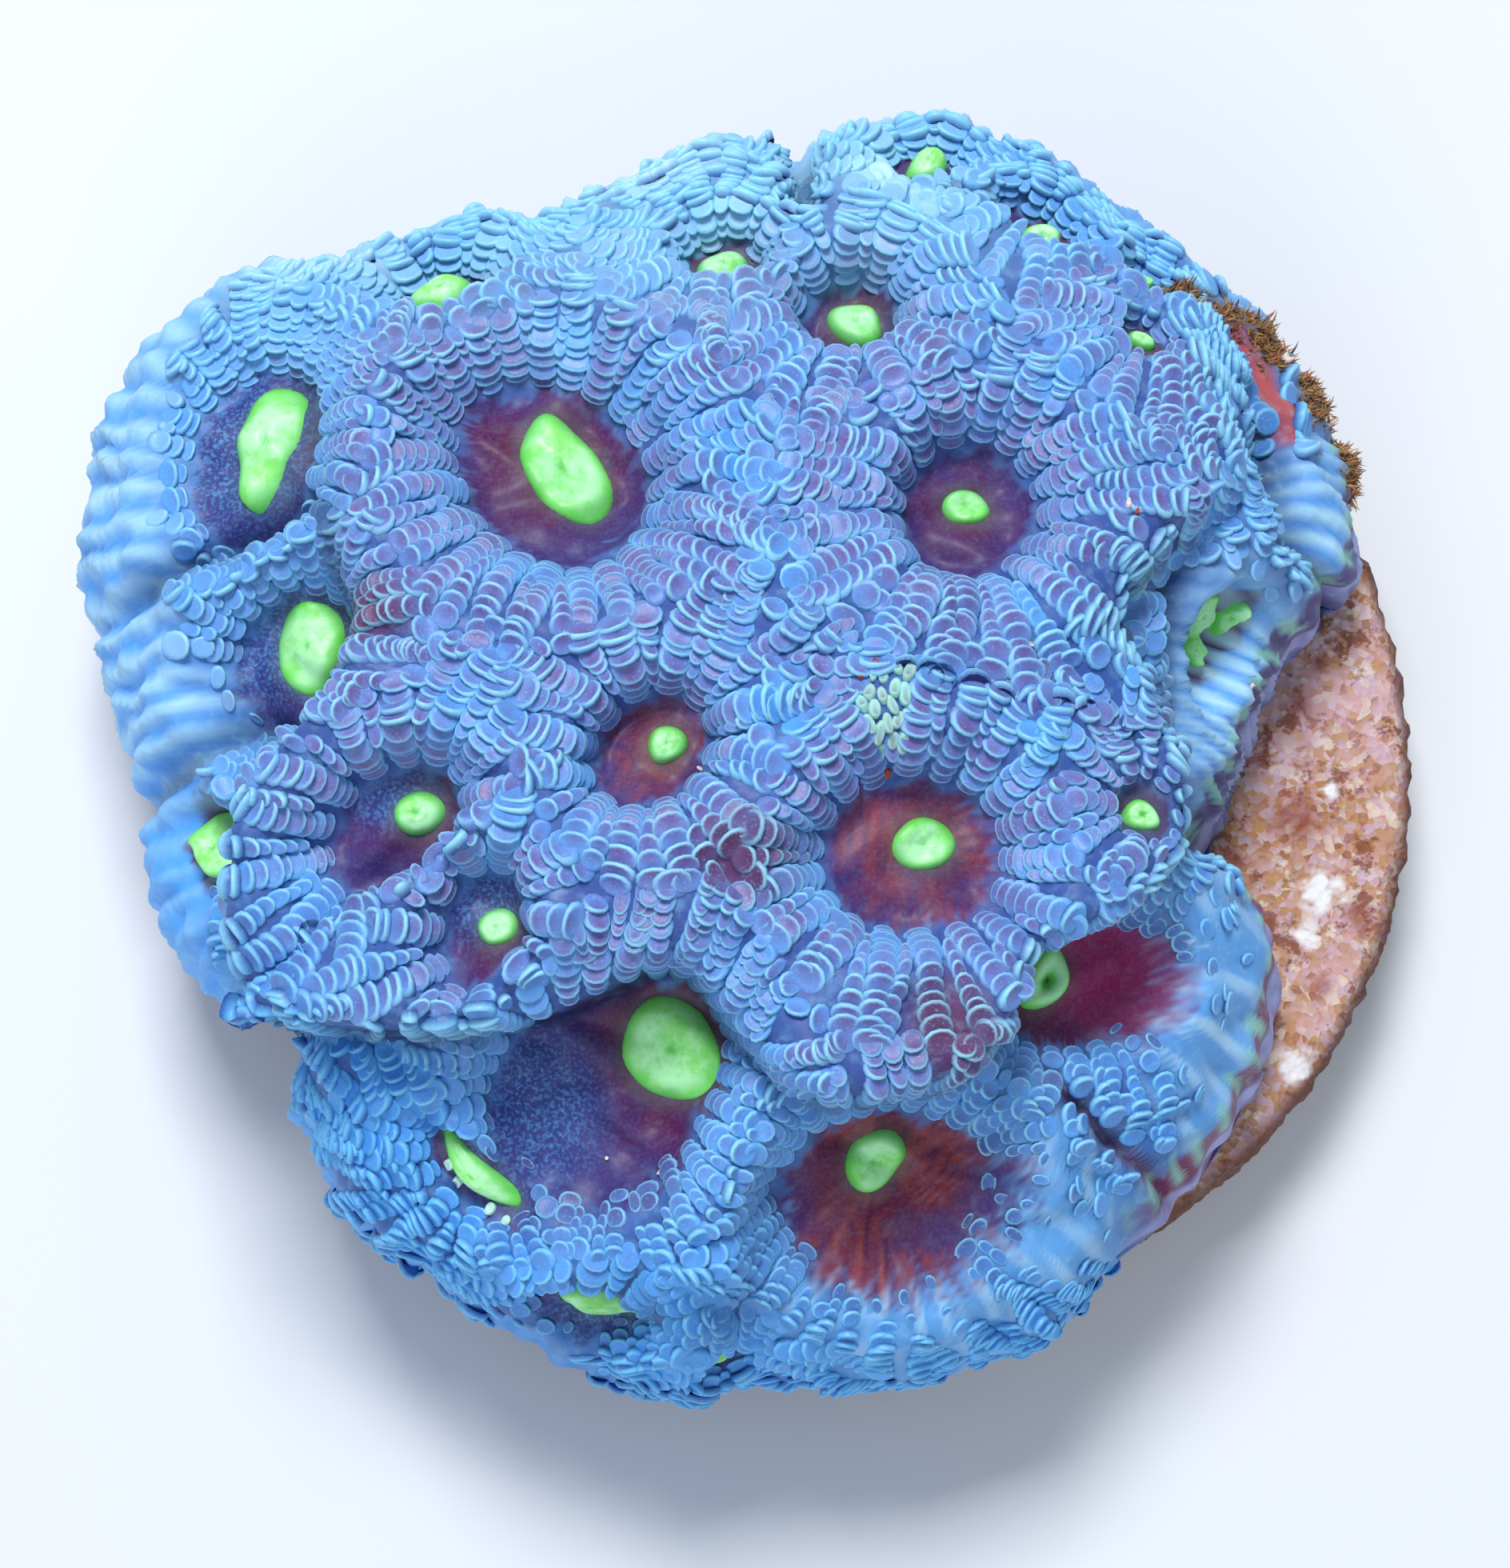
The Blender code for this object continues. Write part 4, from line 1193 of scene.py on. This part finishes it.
# %% Deposits
DEPOSITS = (
    # x, y, half length, half width, height, kind: 1 pale bead, 2 white grain, 3 rusty grain
    (-0.45, -2.95, 0.10, 0.08, 0.20, 3), (-0.95, -0.62, 0.09, 0.08, 0.26, 3),
    (-1.25, -0.85, 0.11, 0.09, 0.26, 3), (-5.05, -3.05, 0.09, 0.05, 0.12, 2),
    (-7.45, -12.3, 0.05, 0.05, 0.10, 2), (-5.9, -12.5, 0.06, 0.05, 0.12, 2),
    (5.3, 4.0, 0.14, 0.07, 0.30, 2), (5.45, 3.85, 0.08, 0.05, 0.28, 3),
    (2.7, 0.5, 0.06, 0.05, 0.22, 2), (9.7, 0.9, 0.09, 0.05, 0.16, 2),
    (-11.1, -12.2, 0.15, 0.13, 0.20, 1), (-10.9, -12.6, 0.13, 0.12, 0.20, 1),
    (-10.1, -13.3, 0.18, 0.13, 0.20, 1), (-9.7, -13.5, 0.15, 0.12, 0.18, 1),
    (10.9, 9.9, 0.16, 0.11, 0.35, 2), (12.0, 8.3, 0.15, 0.12, 0.30, 2),
)
# Kind 0 is the bare patch. The kinds are divided by the last one to pick from these stops.
KIND_COLOURS = [(0.0, shade(166, 212, 206)), (0.25, shade(160, 222, 212)),
                (0.6, shade(240, 240, 236)), (0.9, shade(176, 66, 44))]
RIDGES = 20


def make_deposits():
    """Lobes of the table, and ovals at the golden angle over the bare patch."""
    x, y, long_way, wide_way, height, kind = np.array(DEPOSITS).T
    patch_x, patch_y, half_x, half_y = BARE_PATCH[0]
    turn = np.arange(RIDGES) * 2.4
    reach = np.sqrt((np.arange(RIDGES) + 0.5) / RIDGES)
    x = np.append(x, patch_x + half_x * reach * np.cos(turn))
    y = np.append(y, patch_y + half_y * reach * np.sin(turn))
    long_way = np.append(long_way, rng.uniform(0.20, 0.34, RIDGES))
    wide_way = np.append(wide_way, rng.uniform(0.11, 0.16, RIDGES))
    height = np.append(height, rng.uniform(0.12, 0.20, RIDGES))
    kind = np.append(kind, rng.choice([0, 0, 0, 0.4, 0.7], RIDGES))
    angle = np.arctan2(y - AXIS_Y, x - AXIS_X)
    out = np.hypot(x - AXIS_X, y - AXIS_Y) / around(MARGIN_RING, angle)
    base = dome(angle, np.arcsin(np.clip(out, 0, 1)) / (np.pi / 2) * 0.97)
    bearing = rng.uniform(1.1, 2.1, len(x))
    heading = np.stack([np.cos(bearing), np.sin(bearing), 0 * bearing], -1)
    finish = Finish("deposits", Roughness=0.6, Subsurface_Weight=0.1, Subsurface_Scale=0.0003)
    colour = finish.ramp(finish.attribute("kind"), KIND_COLOURS)
    shadow = finish.attribute("core") * finish.attribute("bony")
    finish.wear(finish.mix(shadow * 0.95, colour, shade(108, 84, 124)))
    numbers = {"kind": kind / 3.0, "bony": (kind < 1) * 1.0, "ringed": 0 * x}
    build_lobes("grains_and_bare_ridges", base, heading, long_way, wide_way, height, 0.2 + 0 * x,
                numbers, finish.material)


make_deposits()

# %% Turf algae
BLADES = 1400
TRIES = 14 * BLADES
BLADE_SIDES = 3
BLADE_STEPS = 3
TURF_COLOURS = [(0.0, shade(104, 70, 44)), (0.35, shade(136, 98, 58)),
                (0.75, shade(184, 148, 92)), (1.0, shade(186, 106, 78))]


def make_turf():
    """Bent spikes: each climbs along a direction that droops, and thins to a point."""
    angle = np.radians(rng.uniform(18, 52, TRIES))
    share = rng.uniform(0.60, 1.06, TRIES)
    chosen = spots(dome(angle, share), PATCHES["turf"]) > rng.uniform(0.2, 1, TRIES)
    angle, share = angle[chosen][:BLADES], share[chosen][:BLADES]
    many = len(angle)
    root = raise_flesh(angle, share)
    normal = dome_normal(angle, share)
    lean = unit(normal + 0.75 * rng.normal(0, 1, (many, 3)))
    side = unit(np.cross(lean, rng.normal(0, 1, (many, 3))))
    other = np.cross(lean, side)
    length = rng.uniform(0.15, 0.42, many)
    thick = rng.uniform(0.03, 0.06, many)
    climb = np.linspace(0, 1, BLADE_STEPS + 1)[None, :, None]
    stem = root[:, None] + lean[:, None] * (climb * length[:, None, None])
    stem = stem + side[:, None] * (climb ** 2 * (0.35 * length)[:, None, None])
    turn = (np.arange(BLADE_SIDES) * 2 * np.pi / BLADE_SIDES)[None, :, None]
    ring = side[:, None] * np.cos(turn) + other[:, None] * np.sin(turn)
    taper = (1 - 0.92 * climb ** 1.5) * thick[:, None, None]
    points = stem[:, :, None] + ring[:, None] * taper[..., None]
    size = (BLADE_STEPS + 1) * BLADE_SIDES
    i, k = np.meshgrid(np.arange(BLADE_STEPS), np.arange(BLADE_SIDES), indexing="ij")
    after = (k + 1) % BLADE_SIDES
    low = i * BLADE_SIDES
    quads = np.stack([low + k, low + after, low + BLADE_SIDES + after, low + BLADE_SIDES + k], -1)
    caps = np.array([[2, 1, 0], [size - 3, size - 2, size - 1]])
    first = np.arange(many)[:, None, None] * size
    faces = (first + quads.reshape(-1, 4)).reshape(-1, 4).tolist()
    faces += (first + caps).reshape(-1, 3).tolist()
    finish = Finish("turf_algae", Roughness=0.7)
    finish.wear(finish.ramp(finish.attribute("tone"), TURF_COLOURS))
    tone = np.repeat(rng.uniform(0.1, 1, many), size)
    add_piece("turf_algae", points.reshape(-1, 3), faces, finish.material, {"tone": tone})


make_turf()

# %% [markdown]
# ## The disc
# The disc is cheap unglazed ceramic, and what shows of it is crusted with tan and pink algae,
# white grains and brown spots. It is a turned profile carried round the axis, roughened by
# a sum of waves at three lengths.

# %% Disc
CRUST_TAN = shade(188, 142, 116)
CRUST_PINK = shade(206, 166, 168)
CRUST_CREAM = shade(224, 208, 196)
CRUST_BROWN = shade(128, 70, 46)
CRUST_OCHRE = shade(190, 146, 84)
CRUST_LILAC = shade(202, 180, 204)
CRUST_RUST = shade(140, 70, 56)
CRUST_WHITE = shade(236, 236, 238)
RIM_BROWN = shade(92, 48, 34)
GRAIN_COLOURS = [(0.0, CRUST_BROWN), (0.12, CRUST_OCHRE), (0.3, CRUST_TAN), (0.52, CRUST_PINK),
                 (0.75, CRUST_LILAC), (0.92, CRUST_CREAM)]
BEVEL = 0.7
TOP_RINGS = 90
DISC_SIDES = 440
# Middle and size of the rust spots and of the white grains.
RUST_SPOTS = ((11.6, -1.7, 0.75), (12.4, 2.6, 0.3), (11.8, 1.4, 0.35), (9.9, -2.9, 0.35),
              (13.4, -4.4, 0.4), (12.2, -6.4, 0.3))
WHITE_SPOTS = ((12.3, -3.8, 0.7), (12.7, -0.9, 0.3), (11.9, -5.0, 0.4), (11.5, -8.6, 0.5))


def make_disc_finish():
    finish = Finish("crusted_ceramic", Specular_IOR_Level=0.25)
    coarse = finish.noise(300.0, 4.0, 0.6)
    middle = finish.noise(900.0, 4.0, 0.65)
    grain_colour = finish.cells(4600.0, "Color")
    pick = finish.node("SeparateColor", None, {"Color": grain_colour}, "Red")
    grains = finish.ramp(pick, GRAIN_COLOURS)
    crust = finish.mix(coarse.between(0.42, 0.58), CRUST_TAN, CRUST_PINK)
    crust = finish.mix(middle.between(0.3, 0.55) * 0.7, crust, grains)
    crust = finish.mix(middle.between(0.56, 0.64) * 0.85, crust, CRUST_CREAM)
    blots = finish.noise(700.0, 5.0, 0.7)
    crust = finish.mix(blots.between(0.55, 0.62) * 0.85, crust, CRUST_BROWN)
    pits = finish.noise(2100.0, 3.0, 0.6)
    crust = finish.mix(pits.between(0.58, 0.68) * 0.6, crust, CRUST_RUST)
    crust = finish.tint(crust, ("brown", 1.0, RIM_BROWN), ("spot", 0.85, CRUST_RUST))
    crust = finish.mix(finish.attribute("white").between(0.25, 0.7), crust, CRUST_WHITE)
    height = middle + finish.cells(4600.0, "Distance") * 0.5
    return finish.wear(crust, 0.7 + middle * 0.25, finish.bump(height, 0.6, 0.00022))


def round_spots(points, table, strength, unevenness, length):
    """The strongest of the spots at each point: exp(-r^2), uneven by waves of a length."""
    field = np.zeros(len(points))
    for x, y, size in table:
        gap = np.hypot(points[:, 0] - x, points[:, 1] - y) / size
        uneven = strength + unevenness * waves(points, length)
        field = np.maximum(field, np.exp(-gap ** 2) * uneven)
    return field


def make_disc():
    """Crusted disc: a rounded-rectangle profile turned about the axis, with waves on top."""
    edge = DISC_RADIUS - BEVEL
    corner = np.linspace(0, np.pi / 2, 7)[1:]
    side = np.linspace(DISC_TOP - BEVEL, BEVEL, 12)[1:]
    radius = np.concatenate([np.linspace(0.05, edge, TOP_RINGS), edge + BEVEL * np.sin(corner),
                             np.full(len(side), DISC_RADIUS), edge + BEVEL * np.cos(corner),
                             [DISC_RADIUS * 0.5, 0.05]])
    level = np.concatenate([np.full(TOP_RINGS, DISC_TOP),
                            DISC_TOP - BEVEL + BEVEL * np.cos(corner), side,
                            BEVEL - BEVEL * np.sin(corner), [0.0, 0.0]])
    turn = np.arange(DISC_SIDES) * 2 * np.pi / DISC_SIDES
    r, t = np.meshgrid(radius, turn, indexing="ij")
    z = np.repeat(level[:, None], DISC_SIDES, 1)
    points = np.stack([r * np.cos(t), r * np.sin(t), z], -1).reshape(-1, 3)
    x, y, z = points.T
    rough = 0.10 * waves(points, 2.3) + 0.07 * waves(points, 0.9) + 0.035 * waves(points + 3, 0.76)
    upper = np.clip(z / 0.8, 0, 1) * np.clip(np.hypot(x, y) / 2, 0, 1)
    lifted = np.where(z > DISC_TOP - BEVEL, 1.2, 0)
    outward = np.stack([x / DISC_RADIUS, y / DISC_RADIUS, lifted], -1)
    points = points + unit(outward) * (np.minimum(rough, 0.14) * upper)[:, None]
    rim = np.hypot(points[:, 0], points[:, 1])
    numbers = {"brown": ease((rim - DISC_RADIUS + 0.55) / 0.5) * 0.85,
               "spot": np.clip(round_spots(points, RUST_SPOTS, 1, 0.4, 0.8), 0, 1),
               "white": round_spots(points, WHITE_SPOTS, 0.8, 0.5, 0.7)}
    i, k = np.meshgrid(np.arange(len(radius) - 1), np.arange(DISC_SIDES), indexing="ij")
    low, after = i * DISC_SIDES, (k + 1) % DISC_SIDES
    high = low + DISC_SIDES
    faces = np.stack([low + k, high + k, high + after, low + after], -1).reshape(-1, 4).tolist()
    last = (len(radius) - 1) * DISC_SIDES
    faces.append(list(range(DISC_SIDES)))
    faces.append(list(range(last + DISC_SIDES - 1, last - 1, -1)))
    add_piece("crusted_disc", points, faces, make_disc_finish(), numbers, "disc")


make_disc()

# %% [markdown]
# ## Floor and light
# The object stands on a plain pale floor. The light is soft: one broad lamp above and behind, as
# over a tank, a weaker one in front to open the shadows, and a dim even sky.

# %% Stage
FLOOR_HALF = 0.6


def make_stage():
    mesh = bpy.data.meshes.new("floor")
    corners = [(-1, -1), (1, -1), (1, 1), (-1, 1)]
    mesh.from_pydata([(FLOOR_HALF * x, FLOOR_HALF * y, 0) for x, y in corners], [], [(0, 1, 2, 3)])
    floor = bpy.data.objects.new("floor", mesh)
    bpy.context.scene.collection.objects.link(floor)
    finish = Finish("pale_floor", Roughness=0.9)
    mesh.materials.append(finish.wear(shade(226, 230, 236)))


def add_lamp(name, place, watts, size, colour):
    data = bpy.data.lights.new(name, "AREA")
    data.energy = watts
    data.size = size
    data.color = colour
    lamp = bpy.data.objects.new(name, data)
    lamp.location = place
    aim = Vector((-0.003, 0, 0.008)) - Vector(place)
    lamp.rotation_euler = aim.to_track_quat("-Z", "Y").to_euler()
    bpy.context.scene.collection.objects.link(lamp)


make_stage()
add_lamp("tank_lamp", (-0.05, 0.16, 0.34), 1.25, 0.12, (1.0, 1.0, 1.0))
add_lamp("front_fill", (-0.10, -0.34, 0.26), 0.55, 0.30, (0.92, 0.96, 1.0))
world = bpy.data.worlds.new("soft_sky")
world.use_nodes = True
world.node_tree.nodes["Background"].inputs["Color"].default_value = (0.80, 0.88, 1.0, 1.0)
world.node_tree.nodes["Background"].inputs["Strength"].default_value = 0.36
bpy.context.scene.world = world
bpy.context.scene.view_settings.view_transform = "Standard"
